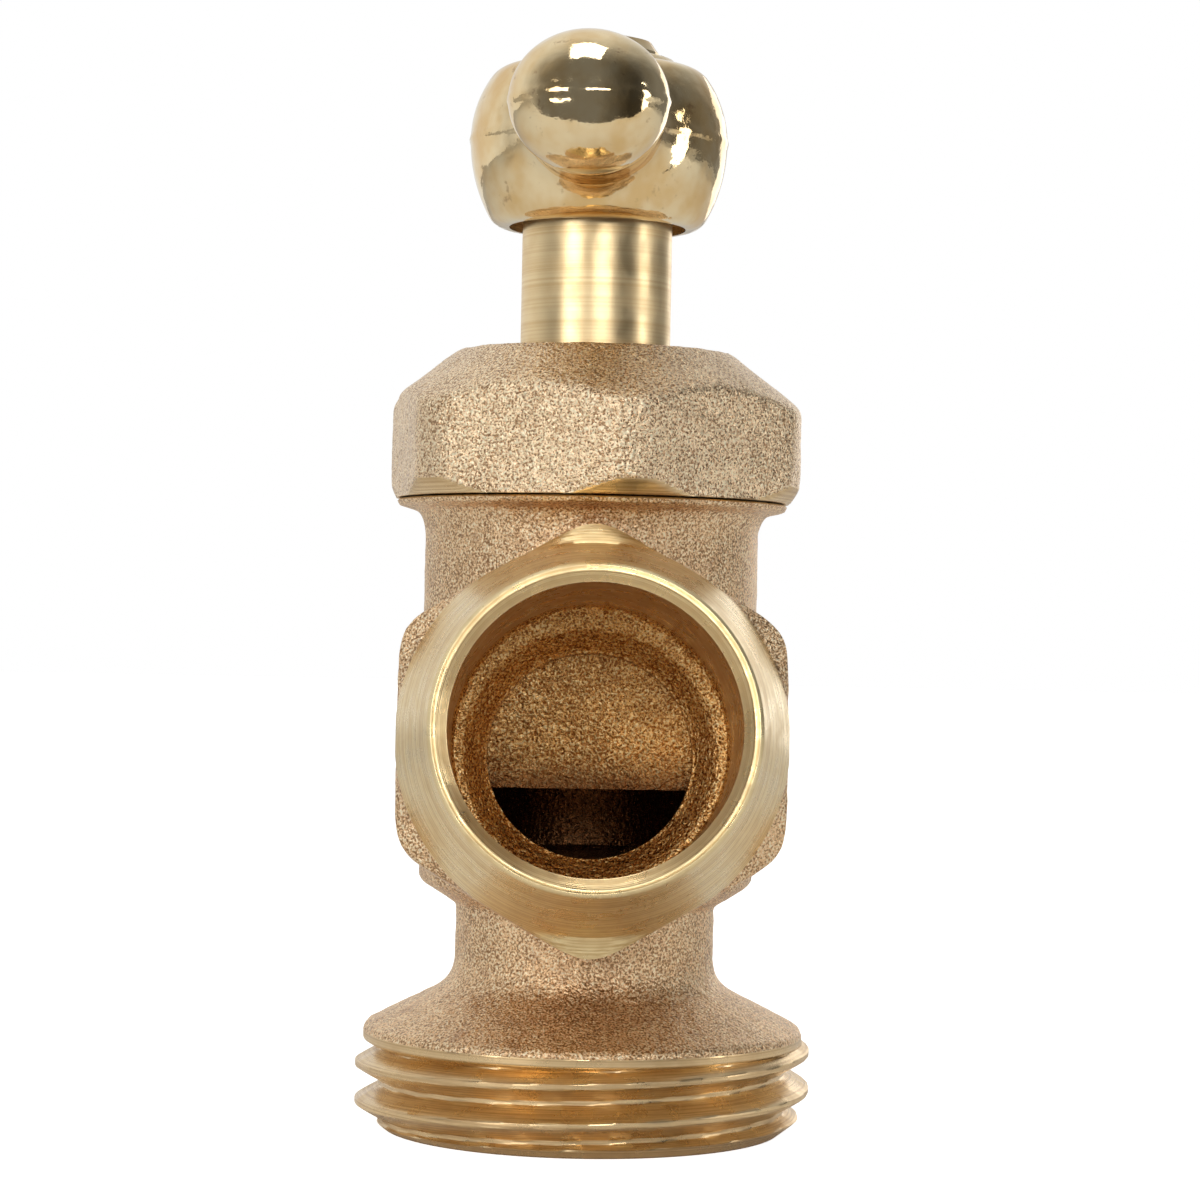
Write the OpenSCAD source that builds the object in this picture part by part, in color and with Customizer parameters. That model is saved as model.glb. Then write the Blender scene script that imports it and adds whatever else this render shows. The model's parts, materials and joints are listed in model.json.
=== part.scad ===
// Brass hose bibb with a solder socket, a packed spindle, a tee handle and a male hose spout.
// The origin is the centre of the socket's bore at its mouth, +Z runs up the spindle and -Y is
// towards the pipe.

/* [Hose spout] */
// Diameter over the crests of the hose thread
hose_d = 26.97; // [25.5:0.01:28]
// Pitch of the hose thread
hose_pitch = 2.209; // [1.9:0.001:2.5]
// Depth of the hose thread's grooves
hose_groove = 1.4; // [0.8:0.05:1.5]
// Width of the flat left on each crest
hose_crest = 0.4; // [0.2:0.05:0.6]
// Height of the lowest full crest above the spout's end
first_crest_h = 2.07; // [1.8:0.01:2.6]
// Number of full crests
hose_crests = 2; // [1:1:3]
// Outer diameter of the spout's flat end face
end_face_d = 23.6; // [22:0.1:24.2]
// Bore at the spout's end, where the hose washer seals round it
outlet_d = 17.8; // [15:0.1:18.6]
// Depth of that bore
outlet_depth = 4.2; // [2:0.1:4.4]
// How far the cast skirt stands proud of the thread's crests
skirt_proud = -0.45; // [-0.8:0.05:0]
// Slope of the skirt above the thread
skirt_slope = 26.8; // [22:0.1:32]
// Radius of the hollow where the neck runs into the skirt
neck_fillet = 2.2; // [1:0.1:3]
// Outer diameter of the neck
neck_d = 15.4; // [14.8:0.1:17]
// Bore of the neck
neck_bore = 12.4; // [11:0.1:12.8]

/* [Barrel] */
// Outer diameter of the barrel
barrel_d = 19.86; // [19.4:0.02:22]
// Height of the barrel's base above the spout's end
barrel_base_h = 14.6; // [14.4:0.1:16]
// Height of the cone between neck and barrel
shoulder_h = 1.4; // [1.3:0.1:1.8]
// Length of the barrel from its base to the top of its flange
barrel_l = 22.5; // [22.4:0.1:25]
// Diameter of the flange under the nut
flange_d = 23.2; // [22.6:0.1:23.4]
// Thickness of that flange at its edge
flange_t = 0.35; // [0.3:0.05:0.6]
// Radius of the hollow under the flange
flare_r = 2; // [1.5:0.1:2.4]
// Length of the threaded collar above the flange
collar_l = 4.1; // [4:0.1:7]
// Diameter of the threaded collar
collar_d = 18.4; // [17.6:0.1:19]

/* [Pipe socket] */
// Bore of the socket, a sliding fit on 15.88 mm copper tube
socket_d = 15.96; // [15.9:0.01:16.1]
// Depth of the socket down to its stop
socket_depth = 12; // [11:0.1:12.2]
// Distance from the spindle's axis to the middle of the mouth
socket_reach = 20; // [19.8:0.1:24]
// Height of the mouth's middle above the barrel's base
socket_h = 9.7; // [9.6:0.05:10]
// Angle by which the mouth points upwards
socket_rise = 6.5; // [4:0.1:8]
// Outer diameter of the mouth
rim_d = 17.98; // [17.6:0.02:18.4]
// Length of the turned cone between the mouth and the hexagon
cone_l = 7; // [6:0.1:7.6]
// Diameter of the turned cone where it meets the hexagon
cone_d = 22; // [20.6:0.1:22.4]
// Size of the hexagon across its flats
socket_hex_af = 21.9; // [21:0.1:23.4]
// Length of the hexagon
socket_hex_l = 5.6; // [4.6:0.1:6.4]
// Width of the water way behind the socket's stop
core_d = 12.04; // [10.6:0.02:12.2]
// How far the cast water way lies below the socket's axis
core_drop = 0.45; // [0:0.05:0.6]

/* [Seat] */
// Bore through the seat
seat_d = 8; // [6.4:0.1:8.2]
// Width of the land round the seat's bore
seat_land = 1.2; // [0.8:0.1:1.3]
// Height of the seat above the barrel's base
seat_h = 15.2; // [15:0.1:15.4]
// How far the seat stands above the chamber's floor
seat_rise = 0.4; // [0.2:0.05:0.8]
// Bore of the chamber round the washer
chamber_d = 11.6; // [11.4:0.1:12]
// Height of the web's lower edge above the barrel's base, over the inlet passage
web_edge_h = 5.7; // [5:0.1:6.4]
// Radius of the pocket's rounded end, below the seat
pocket_r = 4.5; // [4.2:0.1:4.6]
// Wall round that pocket
tube_wall = 1.4; // [1.2:0.1:1.5]
// Outer radius of the passage behind that tube
bypass_r = 8; // [7.4:0.1:8.2]

/* [Spindle] */
// Diameter of the spindle's shank
shank_d = 8.94; // [8:0.02:9.4]
// Diameter over the spindle's thread
spindle_thread_d = 13.6; // [13:0.1:14.4]
// Pitch of the spindle's thread
spindle_pitch = 2.25; // [1.5:0.05:3]
// Depth of the spindle's thread
spindle_groove = 0.7; // [0.4:0.05:1]
// Turns from shut to fully open
open_turns = 2; // [1:0.1:2]
// Diameter of the washer's holder at the spindle's foot
holder_d = 11; // [10.8:0.1:11.2]
// Height of the holder
holder_h = 2; // [1.8:0.1:2.4]
// Depth of the washer's recess in the holder
holder_recess = 1.25; // [0.8:0.05:1.4]
// Diameter of the seat washer
washer_d = 9.8; // [9.4:0.1:10]
// Thickness of the seat washer
washer_t = 2.5; // [2:0.1:3]
// Diameter of the washer screw's shank
washer_screw_d = 3.4; // [3:0.1:4]
// Diameter of the washer screw's head
washer_screw_head_d = 5.2; // [4.6:0.1:5.8]
// Length of the washer screw's shank
washer_screw_l = 7; // [6:0.1:9]
// Side of the square that drives the handle
square_s = 6; // [5.4:0.1:6.1]

/* [Packing] */
// Outer diameter of the packing and its gland
packing_d = 14.6; // [13.6:0.1:15.4]
// Height of the packing ring
packing_h = 1.6; // [1.2:0.1:3]
// Thickness of the gland ring above the packing
gland_t = 0.65; // [0.5:0.05:1.2]
// Thickness of the washer below the packing
backing_t = 0.7; // [0.5:0.05:1.2]

/* [Packing nut] */
// Size of the nut across its flats
nut_af = 23; // [22.4:0.1:25]
// Size of the nut across the facets that cut its corners
nut_corner_af = 25.3; // [24:0.1:26]
// Thickness of the nut's top
nut_top_t = 1.85; // [1.2:0.05:2.4]
// Diameter of the flat on top of the nut
nut_flat_d = 16.4; // [14:0.1:17]
// Slope of the cone above the flats
nut_slope = 37.5; // [30:0.5:42]
// Diameter of the nut's lower face
nut_foot_d = 23.6; // [23.2:0.1:24.2]
// Slope of the chamfer below the flats
nut_foot_slope = 45; // [38:1:52]
// Turn of the nut from square with the socket
nut_turn = -19.9; // [-30:0.1:30]

/* [Handle] */
// Widest diameter of the hub
hub_d = 15.34; // [14.8:0.02:17]
// Height of the hub
hub_h = 9.5; // [9.3:0.1:11]
// Radius of the hub's side above its widest place
hub_upper_r = 6.5; // [6.2:0.1:12]
// Radius of the hub's side below its widest place
hub_lower_r = 9.3; // [8:0.1:14]
// Gap between the nut and the hub with the valve shut
handle_gap = 7.45; // [6:0.05:10]
// Length of the tee bar over its ends
bar_l = 37.6; // [32:0.1:50]
// Width of the bulb at each end of the bar
bulb_w = 8.94; // [7.6:0.02:10]
// Height of the bulb at each end of the bar
bulb_h = 7.95; // [7:0.01:8.6]
// Waist of the bar, as a share of the bulb
waist = 0.87; // [0.7:0.01:0.9]
// Turn of the bar from the socket's direction
handle_turn = -3.5; // [-15:0.5:15]
// Diameter of the handle screw's shank
handle_screw_d = 3.8; // [3:0.1:4.4]
// Diameter of the handle screw's head
handle_screw_head_d = 7; // [5.6:0.1:7.6]
// Length of the handle screw under its head
handle_screw_l = 9; // [7:0.1:11]

/* [Fits] */
// Radial clearance of turning and sliding fits
running_gap = 0.04; // [0.02:0.01:0.08]
// Gap left between the washer and the seat with the valve shut
seat_gap = 0.05; // [0.03:0.01:0.1]
// Clearance round parts that are screwed together
screwed_gap = 0.06; // [0.02:0.01:0.1]
// Gap between the nut's foot and the flange
nut_gap = 0.1; // [0.05:0.05:0.4]

/* [Hidden] */
$fn = 96;
eps = 0.01;

// Colours
cast_brass = [0.72, 0.55, 0.38];
turned_brass = [0.85, 0.70, 0.42];
plated = [0.80, 0.72, 0.55];
rubber_black = [0.08, 0.08, 0.08];
packing_grey = [0.23, 0.23, 0.24];

// Heights above the spout's end, with the valve shut
barrel_top_z = barrel_base_h + barrel_l;
collar_top_z = barrel_top_z + collar_l;
socket_z = barrel_base_h + socket_h;
seat_z = barrel_base_h + seat_h;
floor_z = seat_z - seat_rise;
web_edge_z = barrel_base_h + web_edge_h;
floor_t = 1.5;
socket_lip = 0.56;
pocket_floor_z = barrel_base_h + floor_t;
top_crest_z = first_crest_h + (hose_crests - 1) * hose_pitch;
skirt_rim_z = top_crest_z + 0.65 * hose_pitch;
backing_z = collar_top_z + nut_gap / 3;
packing_z = backing_z + backing_t;
gland_z = packing_z + packing_h;
nut_roof_z = gland_z + gland_t;
nut_top_z = nut_roof_z + nut_top_t;
nut_foot_z = barrel_top_z + nut_gap;
hub_foot_z = nut_top_z + handle_gap;

// The spindle and what rides on it
lift = open_turns * spindle_pitch;
washer_z = seat_z + seat_gap;
washer_top_z = washer_z + washer_t;
holder_z = washer_top_z - holder_recess;
thread_foot_z = holder_z + holder_h;
spindle_bevel = 0.4;
thread_top_z = collar_top_z - lift - spindle_bevel - 2 * running_gap;
hub_recess = 1;
square_foot_z = hub_foot_z + hub_recess;
hub_web = 2;
square_top_z = hub_foot_z + hub_h - hub_web - 0.3;
square_l = square_top_z - square_foot_z;
hub_top_z = hub_foot_z + hub_h;
bar_z = hub_foot_z + 0.54 * hub_h;
boss_h = 0.5;

// Radii that several pieces share
crest_r = hose_d / 2;
root_r = crest_r - hose_groove;
barrel_r = barrel_d / 2;
neck_r = neck_d / 2;
chamber_r = chamber_d / 2;
seat_r = seat_d / 2;
tube_r = pocket_r + tube_wall;
spindle_bore_r = spindle_thread_d / 2 + running_gap + 0.03;
shank_r = shank_d / 2;

// Points on an arc of radius r about [x, y], from angle a to angle b
function arc(x, y, r, a, b, n = 8) =
    [for (i = [0:n]) [x + r * cos(a + (b - a) * i / n), y + r * sin(a + (b - a) * i / n)]];

// One thread crest in section, with its middle at height z
function crest(z, root, tip, pitch, flat) = [
    [root, z - pitch / 2 + flat / 3], [tip, z - flat / 2],
    [tip, z + flat / 2], [root, z + pitch / 2 - flat / 3]];

// Crests one pitch apart, the lowest at height z
function crests(z, count, root, tip, pitch, flat) =
    [for (i = [0:count - 1]) each crest(z + i * pitch, root, tip, pitch, flat)];

// Everything is drawn round the spindle's axis with the spout's end at zero, then moved so that
// the origin is where the socket's bore begins, just behind its bevelled lip
module in_frame() {
    translate([0, socket_reach - socket_lip * cos(socket_rise),
        -socket_z + socket_lip * sin(socket_rise)]) children();
}

// Children are drawn with +Z running from the mouth into the socket
module along_socket() {
    translate([0, -socket_reach, socket_z]) rotate([-90 - socket_rise, 0, 0]) children();
}

module tube(z, h, outer, inner) {
    translate([0, 0, z]) difference() {
        cylinder(r = outer, h = h);
        translate([0, 0, -eps]) cylinder(r = inner, h = h + 2 * eps);
    }
}

// A flat-sided bar of the size af across its flats, with a corner on +Y
module hexagon(af, h) {
    rotate([0, 0, 30]) cylinder(r = af / sqrt(3), h = h, $fn = 6);
}

// Outline of the spout, neck, barrel and collar, turned about the spindle's axis
module body_profile() {
    skirt_r = crest_r + skirt_proud;
    rim_round = 0.55;
    fillet_x = neck_r + neck_fillet;
    run_x = fillet_x - neck_fillet * sin(skirt_slope);
    rim_x = skirt_r - rim_round + rim_round * sin(skirt_slope);
    rim_z = skirt_rim_z + rim_round * cos(skirt_slope);
    run_z = rim_z + (rim_x - run_x) * tan(skirt_slope);
    fillet_z = run_z + neck_fillet * cos(skirt_slope);
    lead = 0.65;
    collar_pitch = 1.3;
    flare_a = 40;
    flare_x = barrel_r + flare_r * (1 - cos(flare_a));
    flare_z = barrel_top_z - flange_t - 0.25 * (flange_d / 2 - flare_x);
    polygon(concat(
        [[0, 0], [end_face_d / 2, 0], [root_r + lead, lead], [root_r + lead, 1.15 * lead]],
        crests(first_crest_h, hose_crests, root_r, crest_r, hose_pitch, hose_crest),
        [[root_r, skirt_rim_z - rim_round / 2]],
        arc(skirt_r - rim_round, skirt_rim_z, rim_round, 0, 90 - skirt_slope, 6),
        arc(fillet_x, fillet_z, neck_fillet, 270 - skirt_slope, 180, 10),
        [[neck_r, barrel_base_h - shoulder_h], [barrel_r, barrel_base_h]],
        arc(barrel_r + flare_r, flare_z - flare_r * sin(flare_a), flare_r, 180, 180 - flare_a, 6),
        [[flange_d / 2, barrel_top_z - flange_t], [flange_d / 2, barrel_top_z]],
        [[collar_d / 2 - 0.7, barrel_top_z]],
        crests(barrel_top_z + collar_pitch, floor((collar_l - 1) / collar_pitch),
            collar_d / 2 - 0.7, collar_d / 2, collar_pitch, 0.2),
        [[collar_d / 2 - 0.7, collar_top_z], [0, collar_top_z]]
    ));
}

// The turned cone, the hexagon behind it and its root in the barrel
module socket_outside() {
    edge = 0.15;
    corner_r = socket_hex_af / sqrt(3) - 0.2;
    chamfer = 0.4;
    along_socket() {
        rotate_extrude() polygon([[0, 0], [rim_d / 2 - edge, 0], [rim_d / 2, edge],
            [cone_d / 2, cone_l], [cone_d / 2, cone_l + 1], [0, cone_l + 1]]);
        translate([0, 0, cone_l]) intersection() {
            hexagon(socket_hex_af, socket_hex_l);
            rotate_extrude() polygon([[0, 0], [corner_r - chamfer, 0], [corner_r, chamfer],
                [corner_r, socket_hex_l - chamfer], [corner_r - chamfer, socket_hex_l],
                [0, socket_hex_l]]);
        }
        translate([0, 0, cone_l]) cylinder(d = barrel_d - 1.1, h = socket_reach - cone_l);
    }
}

// Plan of the pocket under the web: as wide as the water way, tapering to a rounded end
module pocket_plan() {
    side_a = 25;
    mouth_x = core_d / 2 + 1;
    mouth_y = (pocket_r - mouth_x * cos(side_a)) / sin(side_a);
    polygon(concat(arc(0, 0, pocket_r, side_a, 180 - side_a, 12),
        [[-mouth_x, mouth_y], [-mouth_x, -socket_reach], [mouth_x, -socket_reach],
        [mouth_x, mouth_y]]));
}

// The socket and the cast water way behind it, which dives under the web
module inlet_cavity() {
    socket_r = socket_d / 2;
    stop_r = socket_r - 0.6;
    funnel_l = 1.7;
    funnel_end = socket_depth + funnel_l;
    web_face_y = -seat_r - 1.3;
    overlap = 0.2;
    room = 2 * socket_reach;
    along_socket() {
        rotate_extrude() polygon([[0, -overlap], [socket_r + socket_lip + overlap, -overlap],
            [socket_r, socket_lip], [socket_r, socket_depth], [0, socket_depth]]);
        translate([0, core_drop, socket_depth - overlap])
            cylinder(r1 = stop_r - core_drop, r2 = core_d / 2, h = funnel_l + overlap);
    }
    intersection() {
        along_socket() translate([0, core_drop, funnel_end - overlap])
            cylinder(d = core_d, h = socket_reach);
        union() {
            translate([-room / 2, web_face_y - room, 0]) cube([room, room, room]);
            translate([0, 0, pocket_floor_z])
                linear_extrude(web_edge_z - pocket_floor_z) pocket_plan();
        }
    }
    translate([0, 0, pocket_floor_z + overlap])
        cylinder(r = seat_r, h = seat_z - pocket_floor_z);
}

// The chamber above the seat, the passage behind the pocket and the spout's bore
module outlet_cavity() {
    bypass_start_y = 1.2;
    neck_bore_r = neck_bore / 2;
    outlet_r = outlet_d / 2;
    ceiling_z = pocket_floor_z - floor_t;
    cone_foot_z = ceiling_z - bypass_r + neck_bore_r;
    flare_z = outlet_depth + 3.6;
    difference() {
        translate([0, 0, floor_z]) cylinder(r = chamber_r, h = thread_foot_z - floor_z);
        cylinder(r = seat_r + seat_land, h = seat_z);
    }
    difference() {
        intersection() {
            rotate_extrude() polygon([[0, cone_foot_z], [neck_bore_r, cone_foot_z],
                [bypass_r, ceiling_z], [bypass_r, washer_top_z], [0, washer_top_z]]);
            translate([-barrel_d, bypass_start_y, 0])
                cube([2 * barrel_d, barrel_d, collar_top_z]);
        }
        translate([0, 0, ceiling_z]) cylinder(r = tube_r, h = seat_z - ceiling_z);
    }
    rotate_extrude() polygon([[0, -1], [outlet_r, -1], [outlet_r, outlet_depth],
        [neck_bore_r, flare_z], [neck_bore_r, ceiling_z], [0, ceiling_z]]);
}

module body() {
    color(cast_brass) in_frame() difference() {
        union() {
            rotate_extrude() body_profile();
            socket_outside();
        }
        inlet_cavity();
        outlet_cavity();
        translate([0, 0, thread_foot_z - eps])
            cylinder(r = spindle_bore_r, h = collar_top_z - thread_foot_z + 2 * eps);
    }
}

// The nut's flats cut by cones above and below, which leaves the scallops
module packing_nut() {
    rim_r = nut_corner_af / 2 + 0.4;
    shoulder_z = nut_top_z - (rim_r - nut_flat_d / 2) * tan(nut_slope);
    foot_rise = (rim_r - nut_foot_d / 2) * tan(nut_foot_slope);
    h = nut_top_z - nut_foot_z;
    color(cast_brass) in_frame() difference() {
        intersection() {
            rotate([0, 0, nut_turn]) translate([0, 0, nut_foot_z]) intersection() {
                rotate([0, 0, 30]) hexagon(nut_af, h);
                hexagon(nut_corner_af, h);
            }
            rotate_extrude() polygon([[0, nut_foot_z], [nut_foot_d / 2, nut_foot_z],
                [rim_r, nut_foot_z + foot_rise], [rim_r, shoulder_z],
                [nut_flat_d / 2, nut_top_z], [0, nut_top_z]]);
        }
        translate([0, 0, nut_foot_z - eps])
            cylinder(r = collar_d / 2 + screwed_gap, h = packing_z - nut_foot_z + eps);
        translate([0, 0, packing_z - eps])
            cylinder(r = packing_d / 2 + screwed_gap, h = nut_roof_z - packing_z + eps);
        translate([0, 0, nut_roof_z - eps])
            cylinder(r = shank_r + 3 * running_gap, h = nut_top_t + 2 * eps);
    }
}

module packing_gland() {
    color(turned_brass) in_frame()
        tube(gland_z, gland_t, packing_d / 2, shank_r + 2 * running_gap);
}

module packing_ring() {
    color(packing_grey) in_frame()
        tube(packing_z, packing_h, packing_d / 2, shank_r + running_gap);
}

module packing_washer() {
    color(turned_brass) in_frame()
        tube(backing_z, backing_t, collar_d / 2, shank_r + 2 * running_gap);
}

// Outline of the spindle from the washer's holder up to the shank
module spindle_profile() {
    thread_r = spindle_thread_d / 2;
    root = thread_r - spindle_groove;
    thread_l = thread_top_z - thread_foot_z;
    pitches = max(1, floor(thread_l / spindle_pitch - 0.1));
    polygon(concat(
        [[0, holder_z], [holder_d / 2 - spindle_bevel, holder_z]],
        [[holder_d / 2, holder_z + spindle_bevel], [holder_d / 2, thread_foot_z]],
        [[root, thread_foot_z + spindle_bevel]],
        crests(thread_foot_z + spindle_pitch / 2 + 0.2, pitches, root, thread_r,
            spindle_pitch, spindle_pitch / 3),
        [[root, thread_top_z], [shank_r + spindle_bevel, thread_top_z]],
        [[shank_r, thread_top_z + spindle_bevel], [shank_r, square_foot_z], [0, square_foot_z]]
    ));
}

module spindle() {
    tip = 0.5;
    color(turned_brass) in_frame() difference() {
        union() {
            rotate_extrude() spindle_profile();
            rotate([0, 0, handle_turn]) intersection() {
                translate([-square_s / 2, -square_s / 2, square_foot_z - eps])
                    cube([square_s, square_s, square_l + eps]);
                rotate_extrude() polygon([[0, square_foot_z - 1], [shank_r, square_foot_z - 1],
                    [shank_r, square_top_z - tip], [shank_r - tip, square_top_z],
                    [0, square_top_z]]);
            }
        }
        translate([0, 0, holder_z - eps])
            cylinder(r = washer_d / 2 + running_gap, h = holder_recess + eps);
        translate([0, 0, washer_top_z - 2 * eps])
            cylinder(r = washer_screw_d / 2 + screwed_gap, h = washer_screw_l + 1);
        translate([0, 0, square_top_z - handle_screw_l])
            cylinder(r = handle_screw_d / 2 + screwed_gap, h = handle_screw_l + eps);
    }
}

module seat_washer() {
    bevel = 0.3;
    color(rubber_black) in_frame() rotate_extrude()
        polygon([[washer_screw_d / 2 + running_gap, washer_z], [washer_d / 2 - bevel, washer_z],
            [washer_d / 2, washer_z + bevel], [washer_d / 2, washer_top_z],
            [washer_screw_d / 2 + running_gap, washer_top_z]]);
}

// A pan-headed screw that points along +Z, its head's bearing face at zero
module screw(shank, length, head, head_h, slot_w) {
    crown = head_h / 3;
    difference() {
        rotate_extrude() polygon([[0, length], [shank / 2 - 0.3, length],
            [shank / 2, length - 0.3], [shank / 2, 0], [head / 2, 0],
            [head / 2, -head_h + 2 * crown], [head / 2 - crown, -head_h + crown / 2],
            [head / 3, -head_h], [0, -head_h]]);
        translate([-head, -slot_w / 2, -head_h - eps]) cube([2 * head, slot_w, crown + eps]);
    }
}

module washer_screw() {
    head_h = 1.4;
    color(turned_brass) in_frame() translate([0, 0, washer_z - running_gap])
        screw(washer_screw_d, washer_screw_l, washer_screw_head_d, head_h, 0.9);
}

// Half outline of the hub: a bulging side with rounded shoulders and a raised boss on top
module hub_profile() {
    foot_round = 1.2;
    top_round = 1.6;
    boss_r = handle_screw_head_d / 2 + 0.9;
    lower_x = hub_d / 2 - hub_lower_r;
    upper_x = hub_d / 2 - hub_upper_r;
    foot_a = asin((bar_z - hub_foot_z - foot_round) / (hub_lower_r - foot_round));
    top_a = asin((hub_top_z - top_round - bar_z) / (hub_upper_r - top_round));
    foot_x = lower_x + (hub_lower_r - foot_round) * cos(foot_a);
    top_x = upper_x + (hub_upper_r - top_round) * cos(top_a);
    polygon(concat(
        [[0, hub_foot_z]],
        arc(foot_x, hub_foot_z + foot_round, foot_round, -90, -foot_a, 6),
        arc(lower_x, bar_z, hub_lower_r, -foot_a, 0, 12),
        arc(upper_x, bar_z, hub_upper_r, 0, top_a, 12),
        arc(top_x, hub_top_z - top_round, top_round, top_a, 90, 8),
        [[boss_r + boss_h, hub_top_z], [boss_r, hub_top_z + boss_h], [0, hub_top_z + boss_h]]
    ));
}

// Half of the tee bar's outline: a waist that swells to a bulb with a domed end
module bar_profile() {
    bulb_r = bulb_h / 2;
    waist_r = bulb_r * waist;
    half = bar_l / 2;
    bulb_x = half - bulb_r;
    swell_x = bulb_x - 5;
    swell = [for (i = [0:10]) [swell_x + (bulb_x - swell_x) * i / 10,
        waist_r + (bulb_r - waist_r) * (1 - cos(18 * i)) / 2]];
    dome = [for (i = [1:12]) [bulb_x + bulb_r * pow(sin(7.5 * i), 0.92), bulb_r * cos(7.5 * i)]];
    polygon(concat([[0, 0], [0, waist_r]], swell, dome));
}

module handle() {
    socket_s = square_s + 2 * running_gap;
    color(plated) in_frame() rotate([0, 0, handle_turn]) difference() {
        union() {
            rotate_extrude() hub_profile();
            for (side = [-1, 1])
                translate([0, 0, bar_z]) scale([bulb_w / bulb_h, side, 1]) rotate([-90, 0, 0])
                    rotate_extrude() rotate([0, 0, 90]) mirror([0, 1, 0]) bar_profile();
        }
        translate([0, 0, hub_foot_z - eps]) cylinder(r = shank_r + 0.8, h = hub_recess + eps);
        translate([-socket_s / 2, -socket_s / 2, square_foot_z - eps])
            cube([socket_s, socket_s, square_l + 0.3 + eps]);
        translate([0, 0, square_top_z])
            cylinder(r = handle_screw_d / 2 + screwed_gap, h = hub_h);
    }
}

module handle_screw() {
    head_h = 1.3;
    color(plated) in_frame() translate([0, 0, hub_top_z + boss_h]) mirror([0, 0, 1])
        rotate([0, 0, 35])
            screw(handle_screw_d, handle_screw_l, handle_screw_head_d, head_h, 1);
}

body();
packing_nut();
packing_gland();
packing_ring();
packing_washer();
spindle();
seat_washer();
washer_screw();
handle();
handle_screw();
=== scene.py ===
"""Looks of a brass hose bibb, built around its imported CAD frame.

Lengths are given in millimetres above the spout's end, round the spindle's axis, as a turner
would read them off a drawing. ``Axes`` moves them into the frame, which is in metres.
"""

import json
import logging
import math
from dataclasses import dataclass, field
from enum import Enum
from typing import Callable, Optional, Sequence, Union

import bpy
import numpy as np
from mathutils import Matrix, Vector, noise

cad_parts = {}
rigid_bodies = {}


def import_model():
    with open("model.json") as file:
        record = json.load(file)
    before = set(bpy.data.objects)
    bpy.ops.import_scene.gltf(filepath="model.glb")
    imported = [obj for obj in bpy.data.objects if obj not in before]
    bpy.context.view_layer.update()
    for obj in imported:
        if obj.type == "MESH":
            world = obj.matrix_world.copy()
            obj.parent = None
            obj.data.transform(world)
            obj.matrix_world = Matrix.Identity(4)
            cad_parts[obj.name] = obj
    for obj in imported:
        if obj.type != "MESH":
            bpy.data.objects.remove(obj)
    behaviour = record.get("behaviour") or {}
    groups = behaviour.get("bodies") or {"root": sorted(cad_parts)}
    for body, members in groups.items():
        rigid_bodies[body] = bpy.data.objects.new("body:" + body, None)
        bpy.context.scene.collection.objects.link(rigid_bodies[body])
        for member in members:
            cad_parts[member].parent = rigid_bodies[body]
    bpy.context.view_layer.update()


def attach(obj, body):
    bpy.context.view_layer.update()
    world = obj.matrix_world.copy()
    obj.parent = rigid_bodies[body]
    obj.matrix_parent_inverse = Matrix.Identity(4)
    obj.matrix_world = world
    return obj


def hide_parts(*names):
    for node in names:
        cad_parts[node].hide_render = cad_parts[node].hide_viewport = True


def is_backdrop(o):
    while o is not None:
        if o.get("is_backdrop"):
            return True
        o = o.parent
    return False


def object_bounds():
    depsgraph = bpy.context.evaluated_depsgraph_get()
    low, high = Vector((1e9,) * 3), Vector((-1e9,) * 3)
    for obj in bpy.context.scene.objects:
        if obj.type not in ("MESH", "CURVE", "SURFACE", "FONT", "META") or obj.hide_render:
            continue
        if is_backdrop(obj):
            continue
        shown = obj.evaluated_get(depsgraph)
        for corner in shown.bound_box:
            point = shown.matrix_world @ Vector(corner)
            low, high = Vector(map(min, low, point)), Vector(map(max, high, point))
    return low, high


LOG = logging.getLogger("hose_bibb")
MM = 0.001
Vec = np.ndarray
Colour = tuple[float, float, float]
Socket = bpy.types.NodeSocket
Source = Union[Socket, float, tuple[float, ...]]


# Frame and photo
@dataclass(frozen=True)
class Axes:
    """Where the spindle's axis and the socket's axis lie in the frame."""

    reach: float = 20.0
    socket_z: float = 24.3
    rise_deg: float = 6.5
    lip: float = 0.56

    @property
    def rise(self) -> float:
        """The socket's upward tilt in radians."""
        return math.radians(self.rise_deg)

    def to_frame(self, points: Vec) -> Vec:
        """Moves points from the spindle's millimetres into the frame's metres.

        Args:
            points: An array of N points in millimetres.

        Returns:
            The same points in metres, in the frame.
        """
        shift = np.array([0.0, self.reach - self.lip * math.cos(self.rise),
                          -self.socket_z + self.lip * math.sin(self.rise)])
        return (np.asarray(points, float) + shift) * MM

    def along_socket(self, points: Vec) -> Vec:
        """Turns points drawn along the socket, +Z running in from its mouth.

        Args:
            points: An array of N points with z as the depth behind the mouth.

        Returns:
            The points round the spindle's axis, in millimetres.
        """
        angle = -math.pi / 2 - self.rise
        c, s = math.cos(angle), math.sin(angle)
        p = np.asarray(points, float)
        x, y, z = p[:, 0], p[:, 1], p[:, 2]
        return np.stack([x, c * y - s * z - self.reach, s * y + c * z + self.socket_z], axis=1)


AXES = Axes()


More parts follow.
